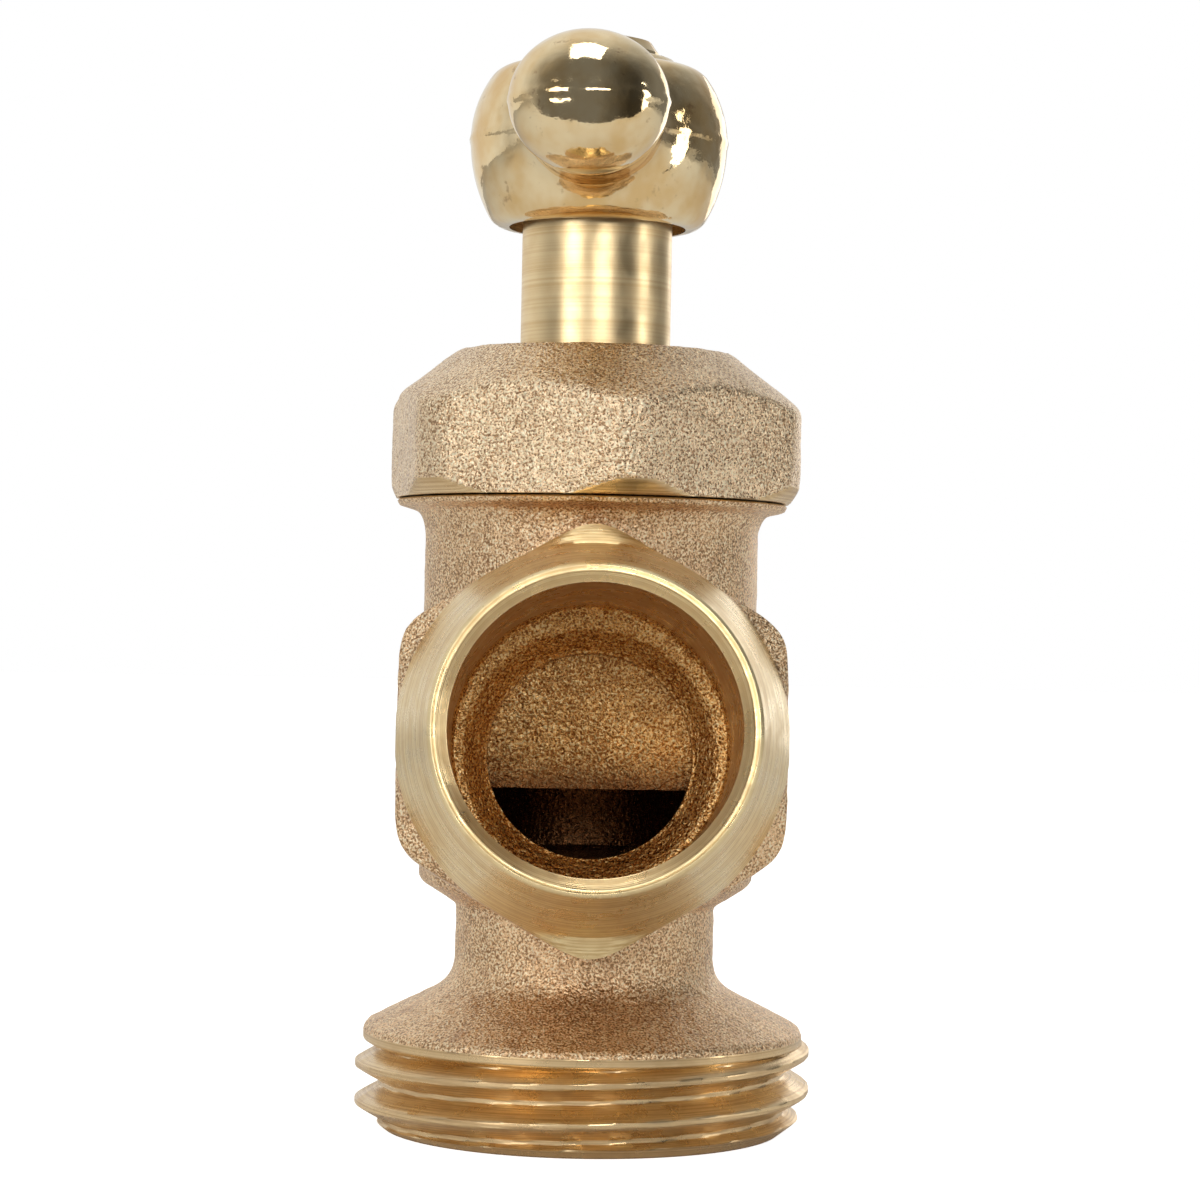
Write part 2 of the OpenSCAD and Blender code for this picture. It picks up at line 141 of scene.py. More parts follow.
@dataclass(frozen=True)
class PhotoCamera:
    """The photograph's camera, fitted to the thread and the socket."""

    frame_px: float = 1200.0
    focal_px: float = 3150.0
    distance: float = 188.0
    eye_z: float = 29.7
    azimuth_deg: float = -1.2
    pitch_deg: float = 0.5
    roll_deg: float = 1.08
    axis_px: float = 590.5
    sensor: float = 36.0

    def build(self) -> bpy.types.Object:
        """Makes the camera and sets it as the scene's own.

        Returns:
            The camera's object.
        """
        data = bpy.data.cameras.new("photo_camera")
        data.sensor_width = self.sensor
        data.lens = self.focal_px / self.frame_px * self.sensor
        data.clip_start = 0.01
        data.clip_end = 10.0
        camera = bpy.data.objects.new("photo_camera", data)
        bpy.context.scene.collection.objects.link(camera)
        azimuth = math.radians(self.azimuth_deg)
        eye = np.array([[self.distance * math.sin(azimuth),
                         -self.distance * math.cos(azimuth), self.eye_z]])
        yaw = math.atan2(self.frame_px / 2 - self.axis_px, self.focal_px)
        heading = Matrix.Rotation(azimuth - yaw, 4, "Z")
        tilt = Matrix.Rotation(math.radians(90.0 + self.pitch_deg), 4, "X")
        roll = Matrix.Rotation(math.radians(self.roll_deg), 4, "Z")
        camera.matrix_world = (Matrix.Translation(Vector(AXES.to_frame(eye)[0]))
                               @ heading @ tilt @ roll)
        bpy.context.scene.camera = camera
        return camera


# Studio
@dataclass(frozen=True)
class SoftBox:
    """One rectangular studio light, placed round the part."""

    name: str
    azimuth_deg: float
    elevation_deg: float
    distance: float
    width: float
    height: float
    power: float
    colour: tuple[float, float, float] = (1.0, 1.0, 1.0)

    def build(self, target: Vector) -> bpy.types.Object:
        """Hangs the light and points it at the part.

        Args:
            target: The point to aim at, in metres.

        Returns:
            The light's object.
        """
        data = bpy.data.lights.new(self.name, "AREA")
        data.shape = "RECTANGLE"
        data.size, data.size_y = self.width, self.height
        data.energy = self.power
        data.color = self.colour
        light = bpy.data.objects.new(self.name, data)
        bpy.context.scene.collection.objects.link(light)
        a, e = math.radians(self.azimuth_deg), math.radians(self.elevation_deg)
        away = Vector((math.sin(a) * math.cos(e), -math.cos(a) * math.cos(e), math.sin(e)))
        light.location = target + away * self.distance
        light.rotation_euler = away.to_track_quat("Z", "Y").to_euler()
        return light


@dataclass
class Studio:
    """The pale floor, the soft lights and the white surroundings."""

    floor_size: float = 3.0
    floor_front: float = 0.085
    backdrop: float = 1.0
    behind_level: float = 0.80
    front_level: float = 0.17
    right_share: float = 0.24
    floor_glow: float = 0.85
    floor_colour: tuple[float, float, float] = (0.86, 0.85, 0.83)
    boxes: tuple[SoftBox, ...] = (
        SoftBox("key_box", -38.0, 12.0, 0.55, 0.26, 0.30, 0.74),
        SoftBox("front_box", 8.0, 16.0, 0.50, 0.23, 0.13, 0.52),
        SoftBox("fill_box", 76.0, 8.0, 0.60, 0.14, 0.40, 0.56),
        SoftBox("top_box", -10.0, 74.0, 0.50, 0.26, 0.26, 0.58),
        SoftBox("rim_box", 150.0, 11.0, 0.60, 0.24, 0.30, 0.24),
    )

    def _surroundings(self) -> bpy.types.World:
        """Makes a world that is white behind the part and dimmer in front and on the right.

        Returns:
            The world.
        """
        world = bpy.data.worlds.new("studio")
        world.use_nodes = True
        tree = world.node_tree
        background = tree.nodes["Background"]
        place = tree.nodes.new("ShaderNodeTexCoord")
        apart = tree.nodes.new("ShaderNodeSeparateXYZ")
        level = tree.nodes.new("ShaderNodeMapRange")
        level.interpolation_type = "SMOOTHSTEP"
        for key, value in (("From Min", -0.6), ("From Max", 0.45),
                           ("To Min", self.front_level), ("To Max", self.behind_level)):
            level.inputs[key].default_value = value
        path = tree.nodes.new("ShaderNodeLightPath")
        seen = tree.nodes.new("ShaderNodeMix")
        seen.inputs["B"].default_value = self.backdrop
        tree.links.new(place.outputs["Generated"], apart.inputs[0])
        shade = tree.nodes.new("ShaderNodeMapRange")
        for key, value in (("From Min", 0.15), ("From Max", 0.75),
                           ("To Min", 1.0), ("To Max", self.right_share)):
            shade.inputs[key].default_value = value
        both = tree.nodes.new("ShaderNodeMath")
        both.operation = "MULTIPLY"
        tree.links.new(apart.outputs["Y"], level.inputs["Value"])
        tree.links.new(apart.outputs["X"], shade.inputs["Value"])
        tree.links.new(level.outputs["Result"], both.inputs[0])
        tree.links.new(shade.outputs["Result"], both.inputs[1])
        tree.links.new(both.outputs[0], seen.inputs["A"])
        tree.links.new(path.outputs["Is Camera Ray"], seen.inputs["Factor"])
        tree.links.new(seen.outputs["Result"], background.inputs["Strength"])
        background.inputs["Color"].default_value = (1.0, 1.0, 1.0, 1.0)
        return world

    def build(self) -> None:
        """Builds the world, the floor and the lights."""
        scene = bpy.context.scene
        scene.view_settings.view_transform = "Standard"
        scene.world = self._surroundings()
        low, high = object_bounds()
        centre = (Vector(low) + Vector(high)) / 2
        half = self.floor_size / 2
        mesh = bpy.data.meshes.new("floor")
        front = centre.y - self.floor_front
        mesh.from_pydata([(-half, front, low[2]), (half, front, low[2]),
                          (half, half, low[2]), (-half, half, low[2])], [], [(0, 1, 2, 3)])
        floor = bpy.data.objects.new("floor", mesh)
        scene.collection.objects.link(floor)
        paint = bpy.data.materials.new("floor_paint")
        paint.use_nodes = True
        shader = paint.node_tree.nodes["Principled BSDF"]
        shader.inputs["Base Color"].default_value = (*self.floor_colour, 1.0)
        shader.inputs["Roughness"].default_value = 0.9
        shader.inputs["Emission Color"].default_value = (1.0, 1.0, 1.0, 1.0)
        path = paint.node_tree.nodes.new("ShaderNodeLightPath")
        glow = paint.node_tree.nodes.new("ShaderNodeMath")
        glow.operation = "MULTIPLY"
        glow.inputs[1].default_value = self.floor_glow
        paint.node_tree.links.new(path.outputs["Is Camera Ray"], glow.inputs[0])
        paint.node_tree.links.new(glow.outputs[0], shader.inputs["Emission Strength"])
        mesh.materials.append(paint)
        floor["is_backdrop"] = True
        for box in self.boxes:
            box.build(centre)
        LOG.info("studio: %d lights", len(self.boxes))


# Meshes
class Skin(Enum):
    """How a stretch of surface was made; the value is its region's number."""

    CAST = 0
    TURNED = 1
    SOCKET = 2
    BORE = 3
    CORE = 4

    def stand_in(self) -> bpy.types.Material:
        """Gives the plain material that keeps the region's place while solids are carved."""
        name = f"region_{self.name.lower()}"
        return bpy.data.materials.get(name) or bpy.data.materials.new(name)


@dataclass
class Shape:
    """A closed mesh in the spindle's millimetres, with a region number on each face."""

    points: Vec
    faces: list[tuple[int, ...]]
    regions: list[int]

    def moved(self, how: Callable[[Vec], Vec]) -> "Shape":
        """Returns the shape with its points put through a mapping."""
        return Shape(how(self.points), self.faces, self.regions)

    def paint(self, where: Callable[[Vec], Vec], region: int) -> None:
        """Moves the faces whose middles pass a test to another region.

        Args:
            where: Tells for N middles which of them pass.
            region: The region to move those faces to.
        """
        middles = np.array([self.points[list(face)].mean(axis=0) for face in self.faces])
        for i in np.nonzero(where(middles))[0]:
            self.regions[i] = region

    def to_object(self, name: str) -> bpy.types.Object:
        """Makes a mesh object in the frame.

        Args:
            name: The object's name.

        Returns:
            The object, with each face's region as its material index.
        """
        mesh = bpy.data.meshes.new(name)
        mesh.from_pydata(AXES.to_frame(self.points).tolist(), [], self.faces)
        mesh.polygons.foreach_set("material_index", np.array(self.regions, np.int32))
        for skin in Skin:
            mesh.materials.append(skin.stand_in())
        made = bpy.data.objects.new(name, mesh)
        bpy.context.scene.collection.objects.link(made)
        return made


@dataclass
class Section:
    """The outline of a turned shape: radius and height of each ring, and the band it starts."""

    radii: list[float] = field(default_factory=list)
    heights: list[float] = field(default_factory=list)
    regions: list[int] = field(default_factory=list)

    def to(self, radius: float, height: float, step: float = 0.0, region: int = 0) -> "Section":
        """Runs the outline on to a point.

        Args:
            radius: The radius to run to.
            height: The height to run to.
            step: The longest ring spacing on the way, or 0 for a single band.
            region: The region of the faces on the way.

        Returns:
            The section itself, so that calls can be chained.
        """
        if not self.radii:
            self.radii.append(radius)
            self.heights.append(height)
            return self
        r0, z0 = self.radii[-1], self.heights[-1]
        length = math.hypot(radius - r0, height - z0)
        count = max(1, math.ceil(length / step)) if step else 1
        for i in range(1, count + 1):
            t = i / count
            self.radii.append(r0 + (radius - r0) * t)
            self.heights.append(z0 + (height - z0) * t)
            self.regions.append(region)
        return self

    def bend(self, r: float, z: float, radius: float, start: float, end: float,
             step: float = 0.2, region: int = 0) -> "Section":
        """Runs the outline round an arc.

        Args:
            r: The radius of the arc's centre.
            z: The height of the arc's centre.
            radius: The arc's own radius.
            start: The angle to start at, in degrees from +r.
            end: The angle to end at.
            step: The longest ring spacing.
            region: The region of the faces on the way.

        Returns:
            The section itself.
        """
        count = max(2, math.ceil(abs(math.radians(end - start)) * radius / step))
        for i in range(count + 1):
            a = math.radians(start + (end - start) * i / count)
            self.to(r + radius * math.cos(a), z + radius * math.sin(a), 0.0, region)
        return self

    def spin(self, columns: int, closed: bool = False,
             shape: Optional[Callable[[Vec, Vec, Vec], Vec]] = None) -> Shape:
        """Turns the outline about the axis.

        Args:
            columns: How many faces go round.
            closed: Whether the outline closes on itself, as a ring's does.
            shape: A change of radius, given the radii, heights and angles of all points.

        Returns:
            The closed shape; an open outline is capped at both ends.
        """
        r = np.repeat(np.array(self.radii)[:, None], columns, axis=1)
        z = np.repeat(np.array(self.heights)[:, None], columns, axis=1)
        angle = np.arange(columns)[None, :] * (2 * math.pi / columns) + np.zeros_like(r)
        if shape is not None:
            r = shape(r, z, angle)
        points = np.stack([r * np.cos(angle), r * np.sin(angle), z], axis=-1).reshape(-1, 3)
        rows = len(self.radii)
        faces: list[tuple[int, ...]] = []
        regions: list[int] = []
        last = rows if closed else rows - 1
        for i in range(last):
            a, b = i * columns, ((i + 1) % rows) * columns
            region = self.regions[i] if i < len(self.regions) else 0
            for j in range(columns):
                k = (j + 1) % columns
                faces.append((a + j, a + k, b + k, b + j))
                regions.append(region)
        if not closed:
            for ring, flip in ((0, True), (rows - 1, False)):
                centre = len(points)
                points = np.vstack([points, [[0.0, 0.0, self.heights[ring]]]])
                base = ring * columns
                region = self.regions[0 if ring == 0 else -1]
                for j in range(columns):
                    k = (j + 1) % columns
                    faces.append((base + k, base + j, centre) if flip
                                 else (base + j, base + k, centre))
                    regions.append(region)
        return Shape(points, faces, regions)


def prism(outline: Sequence[tuple[float, float]], low: float, high: float, rows: int,
          region: int = 0) -> Shape:
    """Extrudes a convex outline upwards.

    Args:
        outline: The corners in plan, counter-clockwise.
        low: The height of the foot.
        high: The height of the top.
        rows: How many bands the sides have.
        region: The region of every face.

    Returns:
        The closed shape.
    """
    n = len(outline)
    plan = np.array(outline, float)
    layers = [np.column_stack([plan, np.full(n, low + (high - low) * i / rows)])
              for i in range(rows + 1)]
    centre = plan.mean(axis=0)
    points = np.vstack(layers + [[[*centre, low]], [[*centre, high]]])
    faces: list[tuple[int, ...]] = []
    for i in range(rows):
        for j in range(n):
            k = (j + 1) % n
            faces.append((i * n + j, i * n + k, (i + 1) * n + k, (i + 1) * n + j))
    foot, top = len(points) - 2, len(points) - 1
    for j in range(n):
        k = (j + 1) % n
        faces.append((k, j, foot))
        faces.append((rows * n + j, rows * n + k, top))
    return Shape(points, faces, [region] * len(faces))


def block(low: Sequence[float], high: Sequence[float], step: float, region: int = 0) -> Shape:
    """Makes a box whose faces are fine grids, so that they can be roughened.

    Args:
        low: The lowest corner.
        high: The highest corner.
        step: The longest grid spacing.
        region: The region of every face.

    Returns:
        The closed shape.
    """
    lo, hi = np.array(low, float), np.array(high, float)
    count = np.maximum(1, np.ceil((hi - lo) / step).astype(int))
    index: dict[tuple[int, int, int], int] = {}
    points: list[list[float]] = []

    def at(key: tuple[int, int, int]) -> int:
        """Gives the number of a grid point, and adds the point when it is new."""
        if key not in index:
            index[key] = len(points)
            points.append([lo[d] + (hi[d] - lo[d]) * key[d] / count[d] for d in range(3)])
        return index[key]

    faces: list[tuple[int, ...]] = []
    for axis in range(3):
        u, v = (axis + 1) % 3, (axis + 2) % 3
        for side in (0, int(count[axis])):
            for i in range(count[u]):
                for j in range(count[v]):
                    corner = []
                    for du, dv in ((0, 0), (1, 0), (1, 1), (0, 1)):
                        key = [0, 0, 0]
                        key[axis], key[u], key[v] = side, i + du, j + dv
                        corner.append(at((key[0], key[1], key[2])))
                    faces.append(tuple(corner if side else corner[::-1]))
    return Shape(np.array(points), faces, [region] * len(faces))


class Cut(Enum):
    """How one solid changes another."""

    JOIN = "UNION"
    TAKE = "DIFFERENCE"
    KEEP = "INTERSECT"


def carve(target: bpy.types.Object, tool: "Shape | bpy.types.Object", how: Cut) -> None:
    """Changes a solid by another and bakes the result into its mesh.

    Args:
        target: The object to change.
        tool: The shape or object to change it by; it is used up.
        how: The kind of change.
    """
    cutter = tool.to_object("cutter") if isinstance(tool, Shape) else tool
    step = target.modifiers.new("carve", "BOOLEAN")
    step.operation = how.value
    step.solver = "MANIFOLD"
    step.object = cutter
    baked = bpy.data.meshes.new_from_object(
        target.evaluated_get(bpy.context.evaluated_depsgraph_get()))
    target.modifiers.clear()
    target.data = baked
    bpy.data.objects.remove(cutter)


@dataclass(frozen=True)
class CastSkin:
    """Rounds off and roughens the cast faces of a mesh and leaves the machined ones alone."""

    rounds: int = 2
    lumps: float = 0.035
    lump_size: float = 0.9
    grit: float = 0.02
    grit_size: float = 0.35

    def work(self, made: bpy.types.Object) -> None:
        """Moves the vertices that lie wholly among cast faces.

        Args:
            made: The object to work on.
        """
        mesh = made.data
        n = len(mesh.vertices)
        co = np.empty(n * 3)
        mesh.vertices.foreach_get("co", co)
        co = co.reshape(-1, 3) / MM
        cast = np.ones(n, bool)
        rough = (Skin.CAST.value, Skin.CORE.value)
        for face in mesh.polygons:
            if face.material_index not in rough:
                for v in face.vertices:
                    cast[v] = False
        pairs = np.empty(len(mesh.edges) * 2, np.int32)
        mesh.edges.foreach_get("vertices", pairs)
        pairs = pairs.reshape(-1, 2)
        degree = np.bincount(pairs.ravel(), minlength=n).astype(float)
        for _ in range(self.rounds):
            total = np.zeros_like(co)
            np.add.at(total, pairs[:, 0], co[pairs[:, 1]])
            np.add.at(total, pairs[:, 1], co[pairs[:, 0]])
            mean = total / np.maximum(degree, 1.0)[:, None]
            co[cast] += 0.5 * (mean - co)[cast]
        mesh.vertices.foreach_set("co", (co * MM).ravel())
        mesh.update()
        normal = np.empty(n * 3)
        mesh.vertices.foreach_get("normal", normal)
        normal = normal.reshape(-1, 3)
        for v in np.nonzero(cast)[0]:
            p = Vector(co[v])
            high = self.lumps * (noise.noise(p / self.lump_size) - 0.5)
            high += self.grit * (noise.noise(p / self.grit_size) - 0.5)
            co[v] += normal[v] * high
        mesh.vertices.foreach_set("co", (co * MM).ravel())
        mesh.update()


def outline_distance(outline: Vec, points: Vec) -> Vec:
    """Measures how far points lie from a closed outline, less than nothing inside it.

    Args:
        outline: The outline's corners.
        points: The points to measure, with two columns.

    Returns:
        The signed distance of each point.
    """
    best = np.full(len(points), np.inf)
    inside = np.zeros(len(points), bool)
    for a, b in zip(outline, np.roll(outline, -1, axis=0)):
        edge = b - a
        if not edge.any():
            continue
        away = points - a
        t = np.clip(away @ edge / (edge @ edge), 0.0, 1.0)
        best = np.minimum(best, np.hypot(*(away - t[:, None] * edge).T))
        if a[1] != b[1]:
            spans = (points[:, 1] >= min(a[1], b[1])) & (points[:, 1] < max(a[1], b[1]))
            cross = a[0] + (points[:, 1] - a[1]) * edge[0] / edge[1]
            inside ^= spans & (points[:, 0] < cross)
    return np.where(inside, -best, best)


@dataclass
class TurnedField:
    """The distance round a turned outline, read from a fine grid of radius and height."""

    outline: Vec
    low: float
    high: float
    reach: float
    step: float = 0.05

    def __post_init__(self) -> None:
        """Fills the grid."""
        r = np.arange(0.0, self.reach, self.step)
        z = np.arange(self.low, self.high, self.step)
        grid = np.stack(np.meshgrid(r, z, indexing="ij"), axis=-1).reshape(-1, 2)
        self.table = outline_distance(self.outline, grid).reshape(len(r), len(z))

    def at(self, r: Vec, z: Vec) -> Vec:
        """Reads the distance at places.

        Args:
            r: The radii of the places.
            z: Their heights.

        Returns:
            The distance at each place.
        """
        u = np.clip(r / self.step, 0, self.table.shape[0] - 1.001)
        v = np.clip((z - self.low) / self.step, 0, self.table.shape[1] - 1.001)
        i, j = u.astype(int), v.astype(int)
        fu, fv = u - i, v - j
        t = self.table
        return ((1 - fu) * ((1 - fv) * t[i, j] + fv * t[i, j + 1])
                + fu * ((1 - fv) * t[i + 1, j] + fv * t[i + 1, j + 1]))


def skin_of(distance: Callable[[Vec], Vec], low: Vec, high: Vec, step: float) -> Shape:
    """Wraps a mesh of even squares round the surface where a distance is nought.

    Args:
        distance: Gives the distance of N points.
        low: The lowest corner of the space to search.
        high: The highest corner.
        step: The size of the squares.

    Returns:
        The closed shape, in region 0.
    """
    axes = [np.arange(low[d], high[d] + step, step) for d in range(3)]
    grid = np.stack(np.meshgrid(*axes, indexing="ij"), axis=-1)
    field_ = distance(grid.reshape(-1, 3)).reshape(grid.shape[:3])
    cells = tuple(n - 1 for n in field_.shape)
    total = np.zeros(cells + (3,))
    count = np.zeros(cells)
    for axis in range(3):
        for da in (0, 1):
            for db in (0, 1):
                start = [0, 0, 0]
                start[(axis + 1) % 3], start[(axis + 2) % 3] = da, db
                end = list(start)
                end[axis] += 1
                f0 = field_[tuple(slice(s, s + n) for s, n in zip(start, cells))]
                f1 = field_[tuple(slice(s, s + n) for s, n in zip(end, cells))]
                crossed = (f0 < 0) != (f1 < 0)
                t = np.where(crossed, f0 / np.where(crossed, f0 - f1, 1.0), 0.0)
                for d in range(3):
                    place = t if d == axis else float(start[d])
                    total[..., d] += np.where(crossed, place, 0.0)
                count += crossed
    used = count > 0
    index = np.full(cells, -1)
    index[used] = np.arange(int(used.sum()))
    corner = np.stack(np.nonzero(used), axis=1)
    points = np.asarray(low) + (corner + total[used] / count[used][:, None]) * step
    faces: list[tuple[int, ...]] = []
    for axis in range(3):
        u, v = (axis + 1) % 3, (axis + 2) % 3
        lower = [slice(1, n) for n in cells]
        lower[axis] = slice(0, cells[axis])
        upper = list(lower)
        upper[axis] = slice(1, cells[axis] + 1)
        f0, f1 = field_[tuple(lower)], field_[tuple(upper)]
        where = np.stack(np.nonzero((f0 < 0) != (f1 < 0)), axis=1)
        rising = (f0 < 0)[tuple(where.T)]
        where[:, u] += 1
        where[:, v] += 1
        quad = []
        for du, dv in ((0, 0), (1, 0), (1, 1), (0, 1)):
            cell = where.copy()
            cell[:, u] -= 1 - du
            cell[:, v] -= 1 - dv
            quad.append(index[tuple(cell.T)])
        quads = np.stack(quad, axis=1)
        quads[~rising] = quads[~rising][:, ::-1]
        faces.extend(map(tuple, quads.tolist()))
    nudge = 0.02
    for _ in range(3):
        here = distance(points)
        slope = np.stack([distance(points + nudge * side) - distance(points - nudge * side)
                          for side in np.eye(3)], axis=1) / (2 * nudge)
        size = np.maximum((slope ** 2).sum(axis=1), 0.05)
        points = points - np.clip(here / size, -step / 2, step / 2)[:, None] * slope
    return Shape(points, faces, [0] * len(faces))


def soft_least(sizes: Sequence[Vec], sharpness: float) -> Vec:
    """Takes the least of several radii and rounds the edges where they change over.

    Args:
        sizes: The radii to choose from.
        sharpness: How crisp the edges are.

    Returns:
        The blended radii.
    """
    total = sum((1.0 / np.maximum(s, 0.1)) ** sharpness for s in sizes)
    return total ** (-1.0 / sharpness)


def six_sided(angle: Vec, across: float, turn: float, sharpness: float) -> Vec:
    """Gives the radius of a hexagon with softened corners.

    Args:
        angle: The angles to give it at, in radians.
        across: The size across the flats.
        turn: The angle of one flat's normal, in radians.
        sharpness: How crisp the corners are.

    Returns:
        The radius at each angle.
    """
    total = np.zeros_like(angle)
    for side in range(6):
        total += np.maximum(np.cos(angle - turn - side * math.pi / 3), 0.0) ** sharpness
    return across / 2 * total ** (-1.0 / sharpness)


# Finishes
class Graph:
    """A material's node tree, with short calls for the nodes used here."""

    def __init__(self, name: str) -> None:
        """Starts the tree, with places given in the frame's axes and in millimetres.

        Args:
            name: The material's name.
        """
        self.material = bpy.data.materials.new(name)
        self.material.use_nodes = True
        self.tree = self.material.node_tree
        self.shader = self.tree.nodes["Principled BSDF"]
        place = self.tree.nodes.new("ShaderNodeTexCoord").outputs["Object"]
        self.mm = self.vector("SCALE", place, scale=1.0 / MM)

    def link(self, source: Source, target: Socket) -> None:
        """Joins two sockets, or sets the second to a plain value.

        Args:
            source: The socket or the plain value.
            target: The socket to feed.
        """
        if isinstance(source, Socket):
            self.tree.links.new(source, target)
        else:
            target.default_value = source

    def vector(self, kind: str, a: Source, b: Optional[Source] = None,
               scale: float = 1.0) -> Socket:
        """Adds a sum on vectors.

        Args:
            kind: The sum's name in Blender.
            a: The first vector.
            b: The second vector, where the sum has one.
            scale: The factor of a sum of the kind SCALE.

        Returns:
            The sum's result.
        """
        node = self.tree.nodes.new("ShaderNodeVectorMath")
        node.operation = kind
        self.link(a, node.inputs[0])
        if b is not None:
            self.link(b, node.inputs[1])
        if kind == "SCALE":
            node.inputs["Scale"].default_value = scale
        return node.outputs["Value" if kind == "LENGTH" else "Vector"]

    def sum(self, kind: str, a: Source, b: Source) -> Socket:
        """Adds a sum on numbers.

        Args:
            kind: The sum's name in Blender.
            a: The first number.
            b: The second number.

        Returns:
            The sum's result.
        """
        node = self.tree.nodes.new("ShaderNodeMath")
        node.operation = kind
        self.link(a, node.inputs[0])
        self.link(b, node.inputs[1])
        return node.outputs[0]

    def grain(self, size: float, detail: float = 2.0, rough: float = 0.5,
              at: Optional[Socket] = None) -> Socket:
        """Adds cloudy noise.

        Args:
            size: The size of its lumps, in millimetres.
            detail: How many finer layers it has.
            rough: How strong those layers are.
            at: The place to read it at, or None for the surface's own.

        Returns:
            The noise, from 0 to 1.
        """
        node = self.tree.nodes.new("ShaderNodeTexNoise")
        node.inputs["Scale"].default_value = 1.0 / size
        node.inputs["Detail"].default_value = detail
        node.inputs["Roughness"].default_value = rough
        self.link(self.mm if at is None else at, node.inputs["Vector"])
        return node.outputs[0]

    def cells(self, size: float) -> Socket:
        """Adds scattered cells.

        Args:
            size: The size of a cell, in millimetres.

        Returns:
            The distance to the middle of the nearest cell, in cells.
        """
        node = self.tree.nodes.new("ShaderNodeTexVoronoi")
        node.inputs["Scale"].default_value = 1.0 / size
        self.link(self.mm, node.inputs["Vector"])
        return node.outputs["Distance"]

    def band(self, value: Source, low: float, high: float, to_low: float = 0.0,
             to_high: float = 1.0) -> Socket:
        """Maps a stretch of values onto another, held at its ends.

        Args:
            value: The value to map.
            low: Where the stretch starts.
            high: Where it ends.
            to_low: What the start becomes.
            to_high: What the end becomes.

        Returns:
            The mapped value.
        """
        node = self.tree.nodes.new("ShaderNodeMapRange")
        node.interpolation_type = "SMOOTHSTEP"
        self.link(value, node.inputs["Value"])
        for key, number in (("From Min", low), ("From Max", high),
                            ("To Min", to_low), ("To Max", to_high)):
            node.inputs[key].default_value = number
        return node.outputs["Result"]

    def mix(self, share: Source, first: Source, second: Source) -> Socket:
        """Blends two colours.

        Args:
            share: The second colour's share, from 0 to 1.
            first: The first colour.
            second: The second colour.

        Returns:
            The blended colour.
        """
        node = self.tree.nodes.new("ShaderNodeMix")
        node.data_type = "RGBA"
        self.link(share, node.inputs[0])
        for source, spot in ((first, 6), (second, 7)):
            self.link((*source, 1.0) if isinstance(source, tuple) else source,
                      node.inputs[spot])
        return node.outputs[2]

    def bump(self, height: Socket, deep: float, normal: Optional[Socket] = None) -> Socket:
        """Turns a height into a bent normal.

        Args:
            height: The height, as a share of the depth.
            deep: The depth in millimetres.
            normal: The normal to bend, or None for the surface's own.

        Returns:
            The bent normal.
        """
        node = self.tree.nodes.new("ShaderNodeBump")
        node.inputs["Distance"].default_value = deep * MM
        self.link(height, node.inputs["Height"])
        if normal is not None:
            self.link(normal, node.inputs["Normal"])
        return node.outputs["Normal"]

    def apart(self, vector: Socket) -> tuple[Socket, Socket, Socket]:
        """Splits a vector into its three numbers.

        Args:
            vector: The vector to split.

        Returns:
            Its x, y and z.
        """
        node = self.tree.nodes.new("ShaderNodeSeparateXYZ")
        self.link(vector, node.inputs[0])
        return node.outputs[0], node.outputs[1], node.outputs[2]

    def joined(self, x: Source, y: Source, z: Source) -> Socket:
        """Makes a vector of three numbers.

        Args:
            x: The first number.
            y: The second number.
            z: The third number.

        Returns:
            The vector.
        """
        node = self.tree.nodes.new("ShaderNodeCombineXYZ")
        for source, spot in zip((x, y, z), node.inputs):
            self.link(source, spot)
        return node.outputs[0]

    def finish(self, colour: Source, roughness: Source, normal: Socket,
               metallic: float = 1.0) -> bpy.types.Material:
        """Feeds the shader.

        Args:
            colour: The surface's own colour.
            roughness: Its roughness.
            normal: Its bent normal.
            metallic: 1 for metal and 0 for rubber or packing.

        Returns:
            The material.
        """
        self.link(colour, self.shader.inputs["Base Color"])
        self.link(roughness, self.shader.inputs["Roughness"])
        self.link(normal, self.shader.inputs["Normal"])
        self.shader.inputs["Metallic"].default_value = metallic
        return self.material


